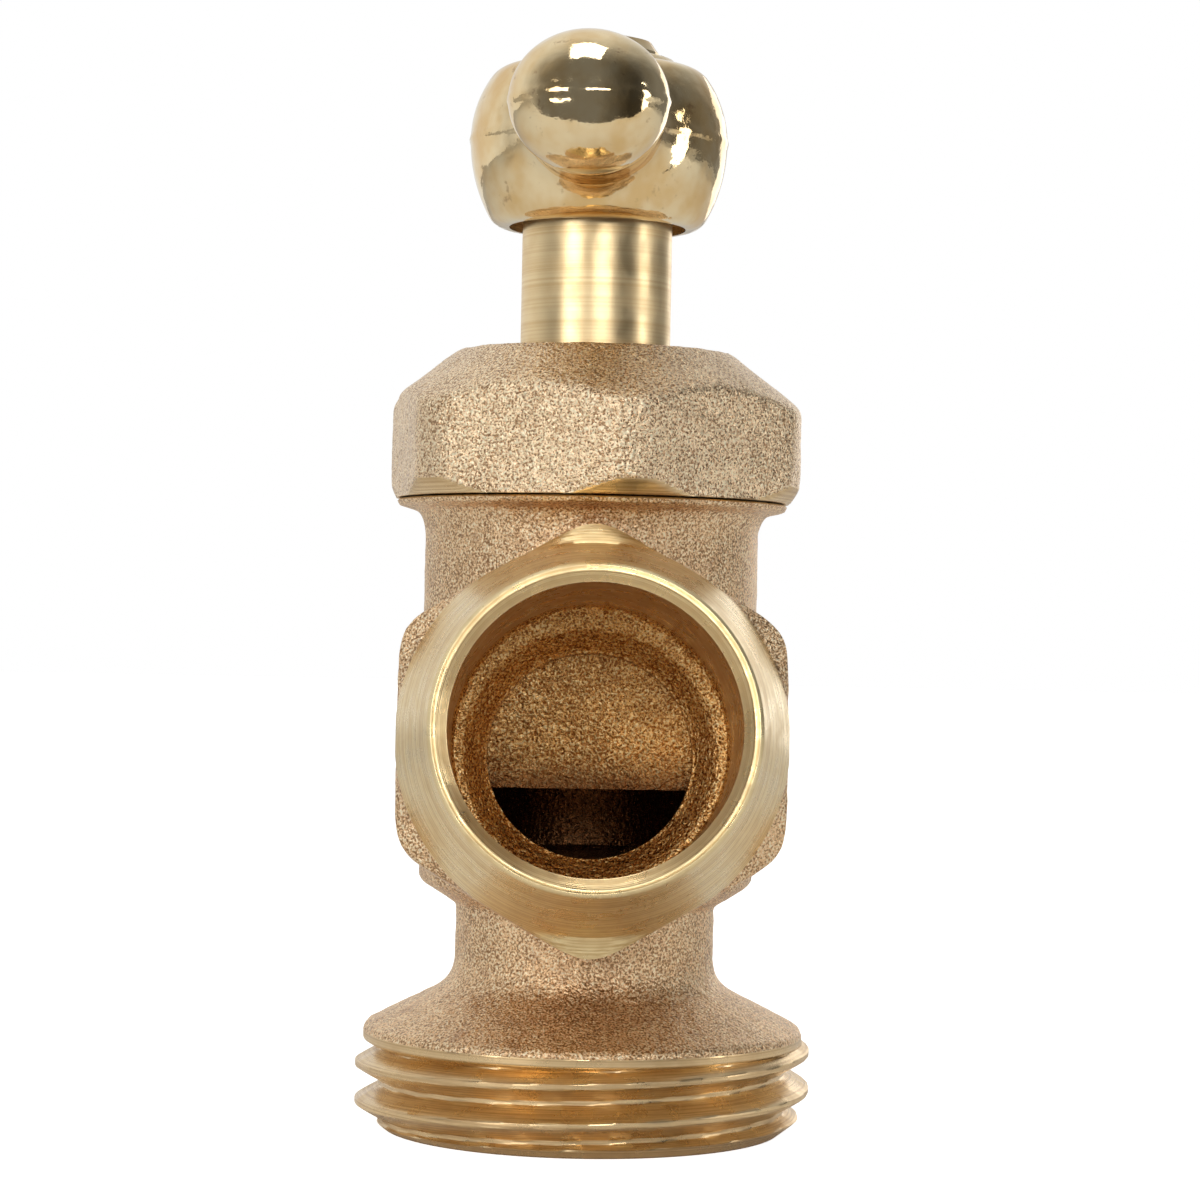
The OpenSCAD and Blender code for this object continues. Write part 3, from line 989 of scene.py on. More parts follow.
@dataclass(frozen=True)
class CastBrass:
    """Brass as it comes out of a sand mould: matt and grainy, with stains and with painted glints
    on its brightest grains.

    ``middle`` is the tone of the sand grain at which light gives way to dark, ``edge`` how far
    on either side of it the change takes, and ``painted_glint_from`` the tone above which the
    grain is painted pale as painted glints. Where ``painted_shade`` isn't 0, painted shade darkens
    the surface behind ``painted_shade_y`` towards ``fleck_and_shade_colour``, by
    ``least_painted_shade`` and by ``painted_shade`` from ``painted_shade_z[0]`` down to
    ``painted_shade_z[1]``.
    """

    name: str = "cast_brass"
    light: Colour = (0.92, 0.625, 0.355)
    dark: Colour = (0.33, 0.185, 0.09)
    painted_glint: Colour = (1.00, 0.90, 0.66)
    fleck_and_shade_colour: Colour = (0.12, 0.05, 0.02)
    stain: Colour = (0.42, 0.22, 0.12)
    grain: float = 0.13
    deep: float = 0.080
    roughness: tuple[float, float] = (0.30, 0.50)
    middle: float = 0.46
    edge: float = 0.075
    grit: float = 0.95
    painted_glint_from: float = 0.55
    painted_glint_share: float = 0.85
    flecks: float = 0.55
    fleck_size: float = 0.28
    stained: float = 0.35
    painted_shade: float = 0.0
    least_painted_shade: float = 0.25
    painted_shade_z: tuple[float, float] = (-1.0, -4.3)
    painted_shade_y: tuple[float, float] = (13.7, 14.1)

    def make(self) -> bpy.types.Material:
        """Builds the material.

        Returns:
            The material.
        """
        g = Graph(self.name)
        sand = g.grain(self.grain, 1.5, 0.6)
        clouds = g.grain(2.6, 4.0, 0.6)
        tone = g.sum("ADD", g.sum("MULTIPLY", sand, 0.85), g.sum("MULTIPLY", clouds, 0.15))
        grit = g.band(tone, self.middle + self.edge, self.middle - self.edge, 0.0, self.grit)
        colour = g.mix(grit, self.light, self.dark)
        # Painted glints: the brightest sand grains get a pale colour that stands in for glints of
        # light.
        painted_glint_mask = g.band(sand, self.painted_glint_from, self.painted_glint_from + 0.07, 0.0, self.painted_glint_share)
        colour = g.mix(painted_glint_mask, colour, self.painted_glint)
        patches = g.sum("MULTIPLY", g.band(g.grain(1.6, 4.0, 0.65), 0.54, 0.70),
                        self.stained)
        colour = g.mix(patches, colour, self.stain)
        spots = g.sum("MULTIPLY", g.band(g.cells(self.fleck_size), 0.26, 0.12),
                      g.band(g.grain(0.7, 1.0), 0.47, 0.58))
        colour = g.mix(g.sum("MULTIPLY", spots, self.flecks), colour, self.fleck_and_shade_colour)
        # Painted shade: deep in the water way, and most towards the bottom of the web, the colour
        # turns dark where shade falls.
        if self.painted_shade:
            _, y, z = g.apart(g.mm)
            painted_shade_share = g.sum("MULTIPLY", g.band(z, *self.painted_shade_z, self.least_painted_shade, self.painted_shade),
                         g.band(y, *self.painted_shade_y))
            colour = g.mix(painted_shade_share, colour, self.fleck_and_shade_colour)
        rough = g.band(sand, 0.35, 0.65, *self.roughness)
        normal = g.bump(sand, self.deep)
        normal = g.bump(g.cells(self.grain * 2.1), self.deep * 0.7, normal)
        normal = g.bump(g.grain(0.8, 2.0), self.deep * 1.2, normal)
        return g.finish(colour, rough, normal)


@dataclass(frozen=True)
class TurnedBrass:
    """Brass fresh from the lathe, with fine rings round the axis it was turned about."""

    name: str = "turned_brass"
    light: Colour = (0.85, 0.64, 0.36)
    dark: Colour = (0.58, 0.39, 0.20)
    along_socket: bool = False
    ring: float = 0.13
    deep: float = 0.010
    roughness: tuple[float, float] = (0.24, 0.38)

    def make(self) -> bpy.types.Material:
        """Builds the material.

        Returns:
            The material.
        """
        g = Graph(self.name)
        x, y, z = g.apart(g.mm)
        if self.along_socket:
            s, c = math.sin(AXES.rise), math.cos(AXES.rise)
            along = g.sum("SUBTRACT", g.sum("MULTIPLY", y, c), g.sum("MULTIPLY", z, s))
            other = g.sum("ADD", g.sum("MULTIPLY", y, s), g.sum("MULTIPLY", z, c))
            across = g.vector("LENGTH", g.joined(x, other, 0.0))
        else:
            along = z
            shift = float(AXES.to_frame(np.zeros((1, 3)))[0][1]) / MM
            across = g.vector("LENGTH", g.joined(x, g.sum("SUBTRACT", y, shift), 0.0))
        rings = g.grain(self.ring, 3.0, 0.6, g.joined(along, across, 0.0))
        smear = g.grain(1.8, 3.0, 0.6)
        colour = g.mix(g.band(rings, 0.35, 0.7), self.light, self.dark)
        colour = g.mix(g.band(smear, 0.5, 0.75, 0.0, 0.35), colour, self.dark)
        rough = g.band(smear, 0.35, 0.65, *self.roughness)
        normal = g.bump(rings, self.deep)
        normal = g.bump(g.grain(1.1, 2.0), self.deep * 0.8, normal)
        return g.finish(colour, rough, normal)


@dataclass(frozen=True)
class Polished:
    """A buffed casting: bright, a little wavy, with hairline marks and thin brown stains."""

    name: str = "plated"
    light: Colour = (0.93, 0.76, 0.47)
    dark: Colour = (0.80, 0.55, 0.25)
    stain: Colour = (0.26, 0.12, 0.05)
    roughness: tuple[float, float] = (0.05, 0.13)
    wave: float = 0.06
    stained: float = 0.5

    def make(self) -> bpy.types.Material:
        """Builds the material.

        Returns:
            The material.
        """
        g = Graph(self.name)
        clouds = g.grain(3.5, 3.0, 0.6)
        colour = g.mix(g.band(clouds, 0.35, 0.7), self.light, self.dark)
        blots = g.band(g.grain(1.3, 4.0, 0.7), 0.60, 0.72, 0.0, self.stained)
        colour = g.mix(blots, colour, self.stain)
        scratches = g.grain(0.25, 2.0, 0.5, g.vector("MULTIPLY", g.mm, (1.0, 0.12, 1.0)))
        rough = g.band(g.sum("ADD", scratches, blots), 0.35, 0.8, *self.roughness)
        normal = g.bump(g.grain(1.4, 1.0), self.wave)
        normal = g.bump(g.grain(0.45, 2.0), self.wave * 0.14, normal)
        normal = g.bump(scratches, 0.003, normal)
        return g.finish(colour, rough, normal)


@dataclass(frozen=True)
class Soft:
    """Rubber or graphite packing: dark, matt and faintly mottled."""

    name: str
    light: Colour
    dark: Colour
    roughness: tuple[float, float] = (0.55, 0.8)
    grain: float = 0.3

    def make(self) -> bpy.types.Material:
        """Builds the material.

        Returns:
            The material.
        """
        g = Graph(self.name)
        mottle = g.grain(self.grain, 3.0, 0.6)
        colour = g.mix(g.band(mottle, 0.35, 0.65), self.light, self.dark)
        rough = g.band(g.grain(0.9), 0.35, 0.65, *self.roughness)
        return g.finish(colour, rough, g.bump(mottle, 0.02), metallic=0.0)


def wear(made: bpy.types.Object, finishes: Sequence[bpy.types.Material],
         smooth_deg: float = 38.0) -> None:
    """Gives an object its finishes, one for each region, and smooths its shading.

    Args:
        made: The object.
        finishes: The materials, in the order of the regions.
        smooth_deg: Edges sharper than this stay crisp.
    """
    mesh = made.data
    for i, finish in enumerate(finishes):
        mesh.materials[i] = finish
    while len(mesh.materials) > len(finishes):
        mesh.materials.pop()
    mesh.shade_smooth()
    mesh.set_sharp_from_angle(angle=math.radians(smooth_deg))


# The casting
@dataclass
class Body:
    """The casting: hose spout, barrel and pipe socket in one piece."""

    columns: int = 240
    row: float = 0.26
    # hose spout
    crest_r: float = 13.485
    groove: float = 1.4
    pitch: float = 2.209
    crest_z: float = 2.60
    crest_flat: float = 0.32
    thread_row: float = 0.085
    end_face_r: float = 11.8
    end_chamfer: float = 1.3
    run_out_z: float = 4.7
    run_out_end: float = 0.45
    last_crest_z: float = 5.35
    rim_z: float = 5.715
    rim_r: float = 13.035
    rim_round: float = 0.55
    skirt_deg: float = 26.8
    neck_r: float = 7.7
    neck_fillet: float = 2.2
    # barrel and collar
    base_z: float = 14.6
    shoulder: float = 1.4
    barrel_r: float = 9.93
    flare_r: float = 2.0
    flare_deg: float = 40.0
    flange_r: float = 11.6
    flange_t: float = 0.35
    flange_z: float = 37.1
    collar_r: float = 9.2
    collar_z: float = 41.2
    # pipe socket
    socket_r: float = 7.98
    socket_depth: float = 12.0
    lip: float = 0.56
    rim_d: float = 17.98
    cone_r: float = 11.0
    cone_l: float = 7.0
    hex_af: float = 21.9
    hex_l: float = 5.6
    hex_chamfer_deg: float = 29.0
    tip_share: float = 0.55
    root_r: float = 9.38
    root_l: float = 17.4
    # water ways
    core_r: float = 6.02
    core_drop: float = 0.45
    funnel_l: float = 1.7
    web_y: float = -5.3
    web_edge_z: float = 20.3
    pocket_z: float = 16.1
    pocket_r: float = 4.5
    seat_r: float = 4.0
    seat_z: float = 29.8
    seat_land: float = 1.2
    chamber_r: float = 5.8
    floor_z: float = 29.4
    bypass_r: float = 8.0
    passage_top_z: float = 32.35
    tube_r: float = 5.9
    spout_r: float = 8.9
    spout_l: float = 4.2
    neck_bore_r: float = 6.2
    ceiling_z: float = 14.6
    thread_foot_z: float = 33.1
    spindle_bore_r: float = 6.87

    def _thread(self, r: Vec, z: Vec, angle: Vec) -> Vec:
        """Cuts the hose thread into the spout and lets it run out under the skirt's rim.

        Args:
            r: The radii before the cut.
            z: The heights.
            angle: The angles round the axis, in radians.

        Returns:
            The radii after it.
        """
        phase = z - self.crest_z - self.pitch * angle / (2 * math.pi)
        off = np.abs((phase + self.pitch / 2) % self.pitch - self.pitch / 2)
        flank = self.groove * math.tan(math.radians(30.0))
        down = np.clip((off - self.crest_flat / 2) / flank, 0.0, 1.0)
        down = down - 0.04 * np.sin(down * math.pi) * (1 - down)
        cut = self.crest_r - self.groove * down
        end = self.end_face_r + (self.crest_r - self.end_face_r) * z / self.end_chamfer
        run_l = self.rim_z - self.run_out_end - self.run_out_z
        fade = np.clip((z - self.run_out_z) / run_l, 0.0, 1.0)
        fade = fade * fade * (3 - 2 * fade)
        blank = self.crest_r - self.groove + (self.rim_r - self.crest_r + self.groove) * fade
        top = np.where(z > self.last_crest_z - 0.35,
                       self.rim_r + (self.last_crest_z - z).clip(0, 1) * 1.2, self.crest_r)
        threaded = np.minimum(np.minimum(np.maximum(cut, blank), end), top)
        return np.where((z < self.rim_z - 0.01) & (z > 0.001), threaded, r)

    def _outside(self) -> Shape:
        """Turns the spout, neck, barrel and collar.

        Returns:
            The closed shape.
        """
        turned, cast = Skin.TURNED.value, Skin.CAST.value
        slope = math.radians(self.skirt_deg)
        fillet_r = self.neck_r + self.neck_fillet
        run_r = fillet_r - self.neck_fillet * math.sin(slope)
        top_r = self.rim_r - self.rim_round + self.rim_round * math.sin(slope)
        top_z = self.rim_z + self.rim_round * math.cos(slope)
        run_z = top_z + (top_r - run_r) * math.tan(slope)
        fillet_z = run_z + self.neck_fillet * math.cos(slope)
        s = Section().to(9.6, 0.0).to(self.end_face_r, 0.0, 0.5, turned)
        s.to(self.end_face_r + 0.01, self.rim_z - 0.02, self.thread_row, turned)
        s.bend(self.rim_r - self.rim_round, self.rim_z, self.rim_round, 0.0,
               90.0 - self.skirt_deg, 0.12, cast)
        s.to(run_r, run_z, self.row, cast)
        s.bend(fillet_r, fillet_z, self.neck_fillet, 270.0 - self.skirt_deg, 180.0,
               self.row, cast)
        s.to(self.neck_r, self.base_z - self.shoulder, self.row, cast)
        s.to(self.barrel_r - 0.25, self.base_z - 0.15, self.row, cast)
        s.to(self.barrel_r, self.base_z + 0.2, self.row, cast)
        flare_out = self.barrel_r + self.flare_r * (1 - math.cos(math.radians(self.flare_deg)))
        flare_z = self.flange_z - self.flange_t - 0.25 * (self.flange_r - flare_out)
        foot_z = flare_z - self.flare_r * math.sin(math.radians(self.flare_deg))
        s.to(self.barrel_r, foot_z - self.row, self.row, cast)
        s.bend(self.barrel_r + self.flare_r, foot_z, self.flare_r, 180.0,
               180.0 - self.flare_deg, 0.18, cast)
        s.to(self.flange_r - 0.05, self.flange_z - self.flange_t, self.row, cast)
        s.to(self.flange_r, self.flange_z - 0.08, 0.15, cast)
        s.to(self.flange_r - 0.08, self.flange_z, 0.0, turned)
        s.to(self.collar_r - 0.5, self.flange_z, 0.0, turned)
        s.to(self.collar_r - 0.5, self.collar_z, 0.5, turned)
        s.to(7.5, self.collar_z, 0.0, turned)
        return s.spin(self.columns, shape=self._thread)

    def _socket(self) -> Shape:
        """Turns the cone and draws the hexagon behind it, along the socket.

        Returns:
            The closed shape, in place.
        """
        turned, cast = Skin.SOCKET.value, Skin.CAST.value
        rim = self.rim_d / 2
        s = Section().to(8.2, 0.0).to(rim - 0.15, 0.0, 0.0, turned)
        s.to(rim, 0.15, 0.0, turned)
        s.to(self.cone_r, self.cone_l, 0.3, turned)
        back = self.cone_l + self.hex_l
        for reach in (0.3, 0.6, 0.85, 1.0):
            depth = reach * math.tan(math.radians(self.hex_chamfer_deg))
            s.to(self.cone_r + reach, self.cone_l + depth, 0.0, cast)
        s.to(self.cone_r + 1.0, back - 0.5, self.row, cast)
        for reach, depth in ((0.85, 0.25), (0.5, 0.08), (0.0, 0.0)):
            s.to(self.cone_r + reach, back - depth, 0.0, cast)
        s.to(self.root_r + 0.4, back + 0.02, self.row, cast)
        s.to(self.root_r, back + 0.4, self.row, cast)
        s.to(self.root_r, self.root_l, self.row, cast)

        def shape(r: Vec, z: Vec, angle: Vec) -> Vec:
            """Gives the outline its flats between the cone and the hexagon's back."""
            flats = six_sided(angle, self.hex_af, 0.0, 18.0)
            part = np.clip((r - self.cone_r), 0.0, 1.0)
            wall = self.cone_r + (flats - self.cone_r) * part
            on_hex = (z > self.cone_l + 0.01) & (z < back + 0.01)
            shaped = np.where(flats < self.cone_r, np.minimum(flats, self.cone_r), wall)
            edge = np.minimum(self.cone_r, flats + (self.cone_l - z).clip(0, 9) * 0.3)
            r = np.where((z > self.cone_l - 0.5) & (z <= self.cone_l + 0.01),
                         np.minimum(r, np.maximum(edge, flats)), r)
            return np.where(on_hex, shaped, r)

        turned_shape = s.spin(self.columns, shape=shape)
        turned_shape.paint(self._on_tips, turned)
        return turned_shape.moved(AXES.along_socket)

    def _on_tips(self, centre: Vec) -> Vec:
        """Tells which face middles lie on the turned top and bottom tips of the hexagon.

        Args:
            centre: The middles, drawn along the socket.

        Returns:
            True for each middle on a tip.
        """
        x, y, z = centre.T
        return ((np.abs(x) < self.tip_share * np.abs(y)) & (np.hypot(x, y) > self.cone_r - 0.3)
                & (z > self.cone_l - 0.25) & (z < self.cone_l + 0.62))

    def _hollows(self, made: bpy.types.Object) -> None:
        """Cuts the socket's bore and the water ways, in the order the water takes.

        Args:
            made: The solid casting.
        """
        self._cut_socket(made)
        self._cut_inlet(made)
        self._cut_seat(made)
        self._cut_passage(made)
        self._cut_bores(made)

    def _cut_socket(self, made: bpy.types.Object) -> None:
        """Cuts the bore for the tube and the funnel behind its stop.

        Args:
            made: The casting.
        """
        bore, core, turned = Skin.BORE.value, Skin.CORE.value, Skin.SOCKET.value
        mouth = Section().to(self.socket_r + self.lip + 0.2, -0.2)
        mouth.to(self.socket_r, self.lip, 0.0, turned)
        mouth.to(self.socket_r, self.socket_depth - 1.2, 0.6, bore)
        mouth.to(self.socket_r - 0.06, self.socket_depth, 0.25, core)
        carve(made, mouth.spin(160).moved(AXES.along_socket), Cut.TAKE)
        funnel = Section().to(self.socket_r - 0.1 - self.core_drop, self.socket_depth - 0.2)
        funnel.to(self.core_r, self.socket_depth + self.funnel_l, 0.25, core)
        carve(made, funnel.spin(120).moved(self._dropped), Cut.TAKE)

    def _dropped(self, points: Vec) -> Vec:
        """Moves points drawn along the socket onto the lower axis of the cast water way."""
        return AXES.along_socket(points + np.array([0.0, self.core_drop, 0.0]))

    def _cut_inlet(self, made: bpy.types.Object) -> None:
        """Cuts the cast water way, which ends at the web and dives under it into a pocket.

        Args:
            made: The casting.
        """
        core = Skin.CORE.value
        line = Section().to(self.core_r, self.socket_depth + self.funnel_l - 0.2)
        line.to(self.core_r, 26.0, 0.25, core)
        way = line.spin(120, shape=self._core_wobble).moved(self._dropped).to_object("way")
        side = math.radians(25.0)
        wide = self.core_r + 1.0
        tangent = (self.pocket_r - wide * math.cos(side)) / math.sin(side)
        plan = [(self.pocket_r * math.cos(a), self.pocket_r * math.sin(a))
                for a in np.linspace(side, math.pi - side, 15)]
        plan += [(-wide, tangent), (-wide, self.web_y - 0.3), (wide, self.web_y - 0.3),
                 (wide, tangent)]
        room = block((-9.0, -18.0, 10.0), (9.0, self.web_y, 36.0), 0.28, core).to_object("room")
        carve(room, prism(plan, self.pocket_z, self.web_edge_z, 12, core), Cut.JOIN)
        carve(way, room, Cut.KEEP)
        carve(made, way, Cut.TAKE)

    def _cut_seat(self, made: bpy.types.Object) -> None:
        """Cuts the seat's bore, the chamber above it and the moat round its land.

        Args:
            made: The casting.
        """
        bore, core = Skin.BORE.value, Skin.CORE.value
        seat = Section().to(self.seat_r, self.pocket_z + 0.2)
        carve(made, seat.to(self.seat_r, self.seat_z + 1.0, 0.5, bore).spin(96), Cut.TAKE)
        chamber = Section().to(self.chamber_r, self.seat_z)
        chamber.to(self.chamber_r, self.thread_foot_z + 0.1, 0.4, core)
        carve(made, chamber.spin(120), Cut.TAKE)
        land = self.seat_r + self.seat_land
        moat = Section().to(land, self.floor_z).to(self.chamber_r, self.floor_z, 0.0, core)
        moat.to(self.chamber_r, self.seat_z + 0.1, 0.4, core)
        moat.to(land, self.seat_z + 0.1, 0.0, core)
        carve(made, moat.spin(120, closed=True), Cut.TAKE)

    def _cut_passage(self, made: bpy.types.Object) -> None:
        """Cuts the passage that runs from the chamber down behind the pocket's tube.

        Args:
            made: The casting.
        """
        core = Skin.CORE.value
        foot = self.ceiling_z - self.bypass_r + self.neck_bore_r
        passage = Section().to(self.neck_bore_r, foot).to(self.bypass_r, self.ceiling_z, 0.4, core)
        passage.to(self.bypass_r, self.passage_top_z, 0.4, core)
        back = passage.spin(120).to_object("back")
        carve(back, block((-12.0, 1.2, 5.0), (12.0, 12.0, 40.0), 0.5, core), Cut.KEEP)
        tube = Section().to(self.tube_r, self.ceiling_z - 2.0)
        tube.to(self.tube_r, self.seat_z, 0.4, core)
        carve(back, tube.spin(120), Cut.TAKE)
        carve(made, back, Cut.TAKE)

    def _cut_bores(self, made: bpy.types.Object) -> None:
        """Cuts the spout's mouth with the neck above it, and the spindle's bore.

        Args:
            made: The casting.
        """
        bore, core = Skin.BORE.value, Skin.CORE.value
        spout = Section().to(self.spout_r, -1.0).to(self.spout_r, self.spout_l, 0.3, bore)
        spout.to(self.neck_bore_r, self.spout_l + 3.6, 0.3, core)
        spout.to(self.neck_bore_r, self.ceiling_z, 0.3, core)
        carve(made, spout.spin(160), Cut.TAKE)
        stem = Section().to(self.spindle_bore_r, self.thread_foot_z)
        stem.to(self.spindle_bore_r, self.collar_z + 1.0, 0.5, bore)
        carve(made, stem.spin(96), Cut.TAKE)

    def _core_wobble(self, r: Vec, z: Vec, angle: Vec) -> Vec:
        """Makes the cast water way a little out of true."""
        return r - 0.10 + 0.06 * np.sin(3 * angle + 0.4) * np.clip(z - 14.5, 0, 1)

    def build(self) -> bpy.types.Object:
        """Builds the casting.

        Returns:
            The object, not yet dressed.
        """
        made = self._outside().to_object("casting")
        carve(made, self._socket(), Cut.JOIN)
        self._hollows(made)
        CastSkin().work(made)
        LOG.info("casting: %d faces", len(made.data.polygons))
        return made


@dataclass
class PackingNut:
    """The hexagonal nut with its turned top cone and scalloped foot."""

    columns: int = 480
    row: float = 0.14
    across: float = 23.0
    corner_across: float = 25.3
    turn_deg: float = -19.9
    foot_z: float = 37.2
    top_z: float = 46.05
    roof_z: float = 44.2
    packing_z: float = 41.95
    flat_r: float = 8.2
    slope_deg: float = 37.5
    foot_r: float = 11.8
    foot_deg: float = 45.0
    collar_r: float = 9.26
    packing_r: float = 7.36
    stem_r: float = 4.59
    sharpness: float = 75.0

    def _top(self, z: Vec) -> Vec:
        """The radius of the top cone at a height."""
        return self.flat_r + (self.top_z - z) / math.tan(math.radians(self.slope_deg))

    def _foot(self, z: Vec) -> Vec:
        """The radius of the foot's chamfer at a height."""
        return self.foot_r + (z - self.foot_z) / math.tan(math.radians(self.foot_deg))

    def build(self) -> bpy.types.Object:
        """Builds the nut.

        Returns:
            The object, not yet dressed.
        """
        cast, turned = Skin.CAST.value, Skin.TURNED.value
        s = Section().to(self.collar_r, self.foot_z)
        s.to(self.foot_r - 0.1, self.foot_z, 0.5, turned).to(20.0, self.foot_z + 0.05, 0.0, turned)
        s.to(20.0, self.top_z - 0.02, self.row, cast)
        s.to(self.flat_r - 0.3, self.top_z, 0.0, cast)
        s.to(self.stem_r + 0.25, self.top_z, 0.3, cast).to(self.stem_r, self.top_z - 0.25, 0.0,
                                                            turned)
        s.to(self.stem_r, self.roof_z, 0.4, turned).to(self.packing_r, self.roof_z, 0.6, turned)
        s.to(self.packing_r, self.packing_z, 0.5, turned)
        s.to(self.collar_r, self.packing_z, 0.6, turned)
        s.to(self.collar_r, self.foot_z + 0.3, 0.5, turned)
        turn = math.radians(self.turn_deg)

        def shape(r: Vec, z: Vec, angle: Vec) -> Vec:
            """Cuts the outer blank down to the hexagon, its top cone and its foot."""
            flats = six_sided(angle, self.across, turn + math.pi / 6, 400.0)
            corners = six_sided(angle, self.corner_across, turn, 400.0)
            body = soft_least([flats, corners, self._top(z), self._foot(z)], self.sharpness)
            return np.where(r > 19.0, body, r)

        made_shape = s.spin(self.columns, closed=True, shape=shape)
        made_shape.paint(self._on_foot, turned)
        made = made_shape.to_object("packing_nut_piece")
        CastSkin(rounds=1, lumps=0.05, lump_size=1.3, grit=0.022).work(made)
        LOG.info("packing nut: %d faces", len(made.data.polygons))
        return made

    def _on_foot(self, centre: Vec) -> Vec:
        """Tells which face middles lie on the foot's chamfer.

        Args:
            centre: The middles.

        Returns:
            True for each middle on the chamfer.
        """
        r = np.hypot(centre[:, 0], centre[:, 1])
        near = np.abs(r - self._foot(centre[:, 2])) < 0.16
        return near & (centre[:, 2] < self.foot_z + 1.4)


@dataclass
class Handle:
    """The cast tee handle: a bulging hub with a waisted bar that ends in two bulbs."""

    step: float = 0.2
    foot_z: float = 53.5
    hub_h: float = 9.5
    hub_r: float = 7.67
    upper_r: float = 6.5
    lower_r: float = 9.3
    foot_round: float = 1.2
    top_round: float = 1.6
    boss_r: float = 4.4
    boss_h: float = 0.5
    half_l: float = 18.8
    bulb_w: float = 8.94
    bulb_h: float = 7.95
    waist: float = 0.87
    swell_l: float = 5.0
    fillet: float = 1.0
    turn_deg: float = -3.5
    recess_r: float = 5.27
    square: float = 6.08
    screw_r: float = 1.96
    seam: float = 0.07

    @property
    def bar_z(self) -> float:
        """The height of the bar's middle."""
        return self.foot_z + 0.54 * self.hub_h

    def _hub_outline(self) -> Vec:
        """Draws the hub's half outline.

        Returns:
            Its corners, as radius and height above the bar's middle.
        """
        low, high = self.foot_z - self.bar_z, self.foot_z + self.hub_h - self.bar_z
        lower_x, upper_x = self.hub_r - self.lower_r, self.hub_r - self.upper_r
        foot_a = math.asin((-low - self.foot_round) / (self.lower_r - self.foot_round))
        top_a = math.asin((high - self.top_round) / (self.upper_r - self.top_round))
        foot_x = lower_x + (self.lower_r - self.foot_round) * math.cos(foot_a)
        top_x = upper_x + (self.upper_r - self.top_round) * math.cos(top_a)
        s = Section().to(0.0, low)
        s.bend(foot_x, low + self.foot_round, self.foot_round, -90.0, -math.degrees(foot_a))
        s.bend(lower_x, 0.0, self.lower_r, -math.degrees(foot_a), 0.0, 0.4)
        s.bend(upper_x, 0.0, self.upper_r, 0.0, math.degrees(top_a), 0.4)
        s.bend(top_x, high - self.top_round, self.top_round, math.degrees(top_a), 90.0)
        s.to(self.boss_r + self.boss_h, high).to(self.boss_r, high + self.boss_h)
        s.to(0.0, high + self.boss_h)
        return np.column_stack([s.radii, s.heights])

    def _bar_outline(self) -> Vec:
        """Draws the bar's half outline.

        Returns:
            Its corners, as radius and distance from the hub's middle.
        """
        bulb = self.bulb_h / 2
        bulb_y = self.half_l - bulb
        start = bulb_y - self.swell_l
        points = [(0.0, -1.0), (bulb * self.waist, -1.0)]
        for t in np.linspace(0.0, 1.0, 16):
            points.append((bulb * (self.waist + (1 - self.waist)
                                   * (1 - math.cos(math.pi * t)) / 2),
                           start + self.swell_l * t))
        for a in np.linspace(0.0, math.pi / 2, 20)[1:]:
            points.append((bulb * math.cos(a), bulb_y + bulb * math.sin(a) ** 0.92))
        return np.array(points)

    def build(self) -> bpy.types.Object:
        """Builds the handle.

        Returns:
            The object, not yet dressed.
        """
        hub = TurnedField(self._hub_outline(), -7.0, 7.0, 24.0)
        bar = TurnedField(self._bar_outline(), -1.0, 22.0, 24.0)
        squash = self.bulb_h / self.bulb_w

        def distance(p: Vec) -> Vec:
            """Joins hub and bar with a fillet and raises the parting ridge."""
            a = hub.at(np.hypot(p[:, 0], p[:, 1]), p[:, 2])
            b = bar.at(np.hypot(p[:, 0] * squash, p[:, 2]), np.abs(p[:, 1]))
            h = np.clip(self.fillet - np.abs(a - b), 0.0, None) / self.fillet
            ridge = self.seam * np.exp(-(p[:, 2] / 0.22) ** 2)
            return np.minimum(a, b) - h * h * self.fillet / 4 - ridge

        reach = np.array([self.hub_r + 0.8, self.half_l + 0.7, 6.2])
        shape = skin_of(distance, -reach, reach, self.step)
        turn = math.radians(self.turn_deg)
        c, s = math.cos(turn), math.sin(turn)

        def placed(p: Vec) -> Vec:
            """Turns the handle on its square and lifts it to its height."""
            return np.column_stack([p[:, 0] * c - p[:, 1] * s, p[:, 0] * s + p[:, 1] * c,
                                    p[:, 2] + self.bar_z])

        made = shape.moved(placed).to_object("tee_handle")
        turned = Skin.TURNED.value
        recess = Section().to(self.recess_r, self.foot_z - 0.5)
        carve(made, recess.to(self.recess_r, self.foot_z + 1.0, 0.5, turned).spin(96), Cut.TAKE)
        half = self.square / 2
        plan = [(-half, -half), (half, -half), (half, half), (-half, half)]
        top = self.foot_z + self.hub_h - 2.0
        hole = prism([(x * c - y * s, x * s + y * c) for x, y in plan],
                     self.foot_z + 0.9, top, 4, turned)
        carve(made, hole, Cut.TAKE)
        screw = Section().to(self.screw_r, top - 0.5).to(self.screw_r, top + 6.0, 1.0, turned)
        carve(made, screw.spin(64), Cut.TAKE)
        LOG.info("handle: %d faces", len(made.data.polygons))
        return made


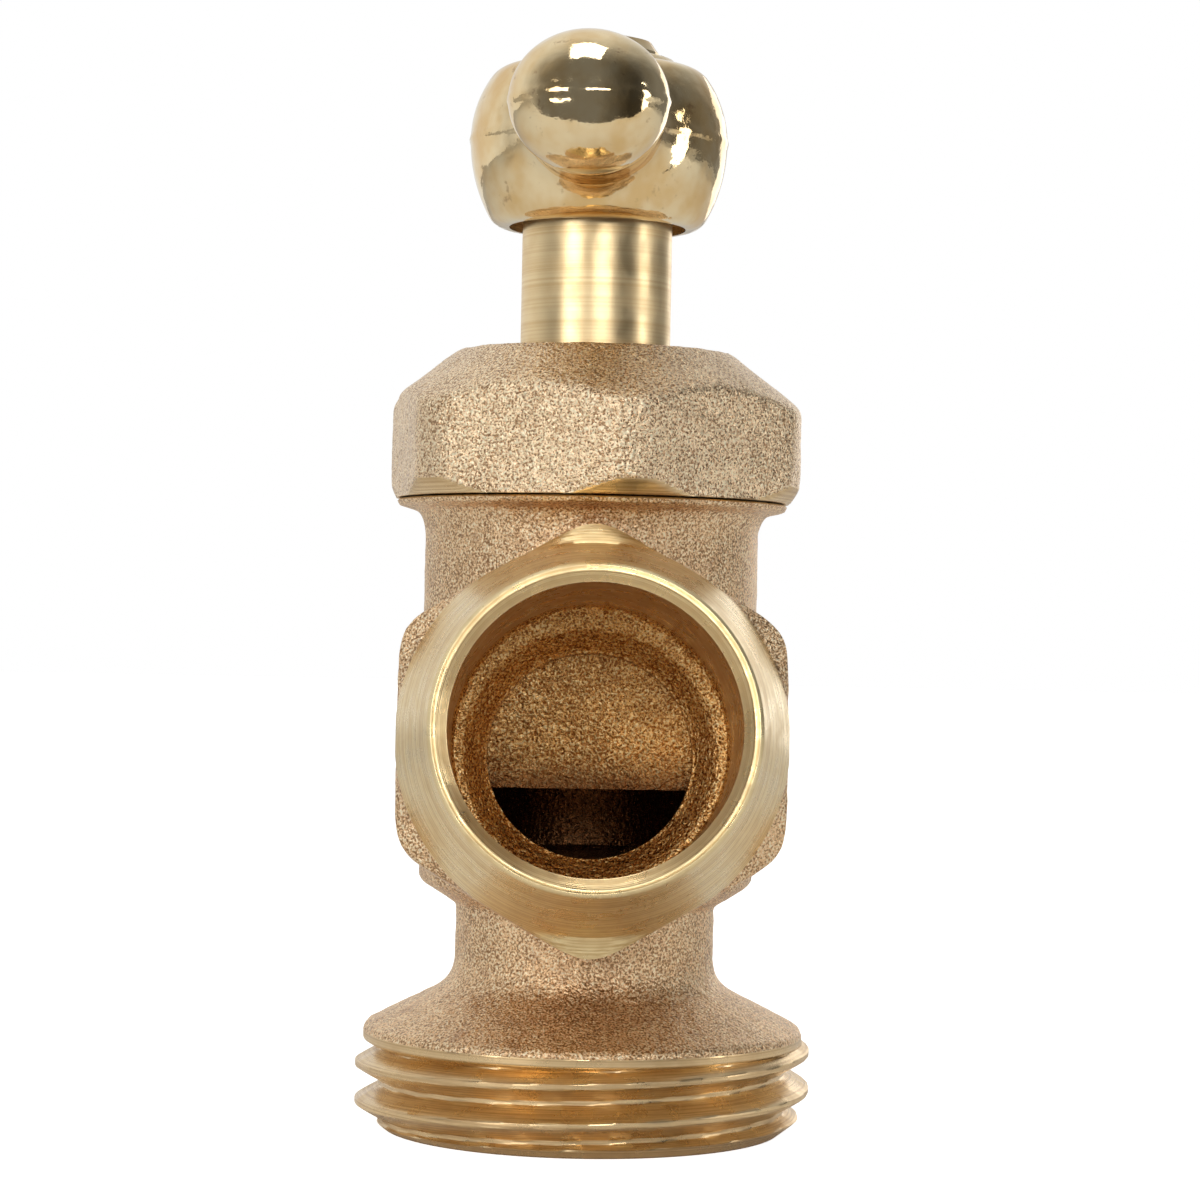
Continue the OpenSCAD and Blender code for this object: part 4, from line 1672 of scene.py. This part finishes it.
# Assembly
@dataclass
class HoseBibb:
    """The whole tap: three pieces built here and the rest dressed as they were packed."""

    body: Body = field(default_factory=Body)
    nut: PackingNut = field(default_factory=PackingNut)
    handle: Handle = field(default_factory=Handle)

    def build(self) -> None:
        """Builds, dresses and mounts every piece."""
        # Every cast finish paints glints on its brightest sand grains.
        cast = CastBrass().make()
        nut_brass = CastBrass(name="nut_brass", light=(1.00, 0.745, 0.475),
                              dark=(0.38, 0.225, 0.115), grain=0.13, flecks=0.4,
                              stained=0.12, roughness=(0.24, 0.40)).make()
        # The water way's finish also paints shade deep inside the way and towards the bottom of
        # the web.
        core = CastBrass(name="core_brass", light=(1.00, 0.62, 0.24), dark=(0.36, 0.17, 0.05),
                         painted_glint=(1.00, 0.84, 0.48), grain=0.14, deep=0.11, middle=0.49,
                         grit=0.95, painted_glint_share=0.85, flecks=0.35, stained=0.25,
                         stain=(0.30, 0.14, 0.06), roughness=(0.22, 0.42), painted_shade=0.95).make()
        turned = TurnedBrass().make()
        shank = TurnedBrass(name="ground_shank", light=(0.94, 0.74, 0.43),
                            dark=(0.82, 0.59, 0.30), ring=0.2, deep=0.0015,
                            roughness=(0.30, 0.40)).make()
        socket = TurnedBrass(name="turned_socket", along_socket=True, ring=0.17, deep=0.038,
                             light=(0.98, 0.80, 0.46), dark=(0.66, 0.45, 0.20)).make()
        bore = TurnedBrass(name="bored_socket", along_socket=True, light=(0.80, 0.55, 0.29),
                           dark=(0.62, 0.38, 0.18), roughness=(0.24, 0.38)).make()
        plated = Polished().make()
        rubber = Soft("rubber", (0.02, 0.02, 0.021), (0.035, 0.034, 0.033)).make()
        packing = Soft("packing", (0.07, 0.07, 0.075), (0.12, 0.12, 0.125)).make()

        casting = self.body.build()
        wear(casting, [cast, turned, socket, bore, core])
        self.mount(casting, "valve_body", "cast_brass", "body")
        nut = self.nut.build()
        wear(nut, [nut_brass, turned])
        self.mount(nut, "valve_body", "nut_brass", "packing_nut")
        handle = self.handle.build()
        wear(handle, [plated, turned], 50.0)
        self.mount(handle, "stem", "plated", "handle")
        kept = {"packing_gland": turned, "packing_ring": packing, "packing_washer": turned,
                "spindle": shank, "seat_washer": rubber, "washer_screw": turned,
                "handle_screw": plated}
        for name, finish in kept.items():
            for made in bpy.data.objects:
                if made.type == "MESH" and made.name.split(".")[0] == name:
                    for spot in made.material_slots:
                        spot.material = finish
                    LOG.info("%s: carried over, dressed in %s", name, finish.name)

    @staticmethod
    def mount(made: bpy.types.Object, rides: str, slot: str, node: str) -> None:
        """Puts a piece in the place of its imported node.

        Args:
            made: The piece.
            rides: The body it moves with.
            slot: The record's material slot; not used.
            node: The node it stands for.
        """
        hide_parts(node)
        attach(made, rides)


def main() -> None:
    """Builds the scene piece by piece."""
    logging.basicConfig(level=logging.INFO, format="%(message)s")
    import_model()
    HoseBibb().build()
    Studio().build()
    PhotoCamera().build()


if __name__ == "__main__":
    main()
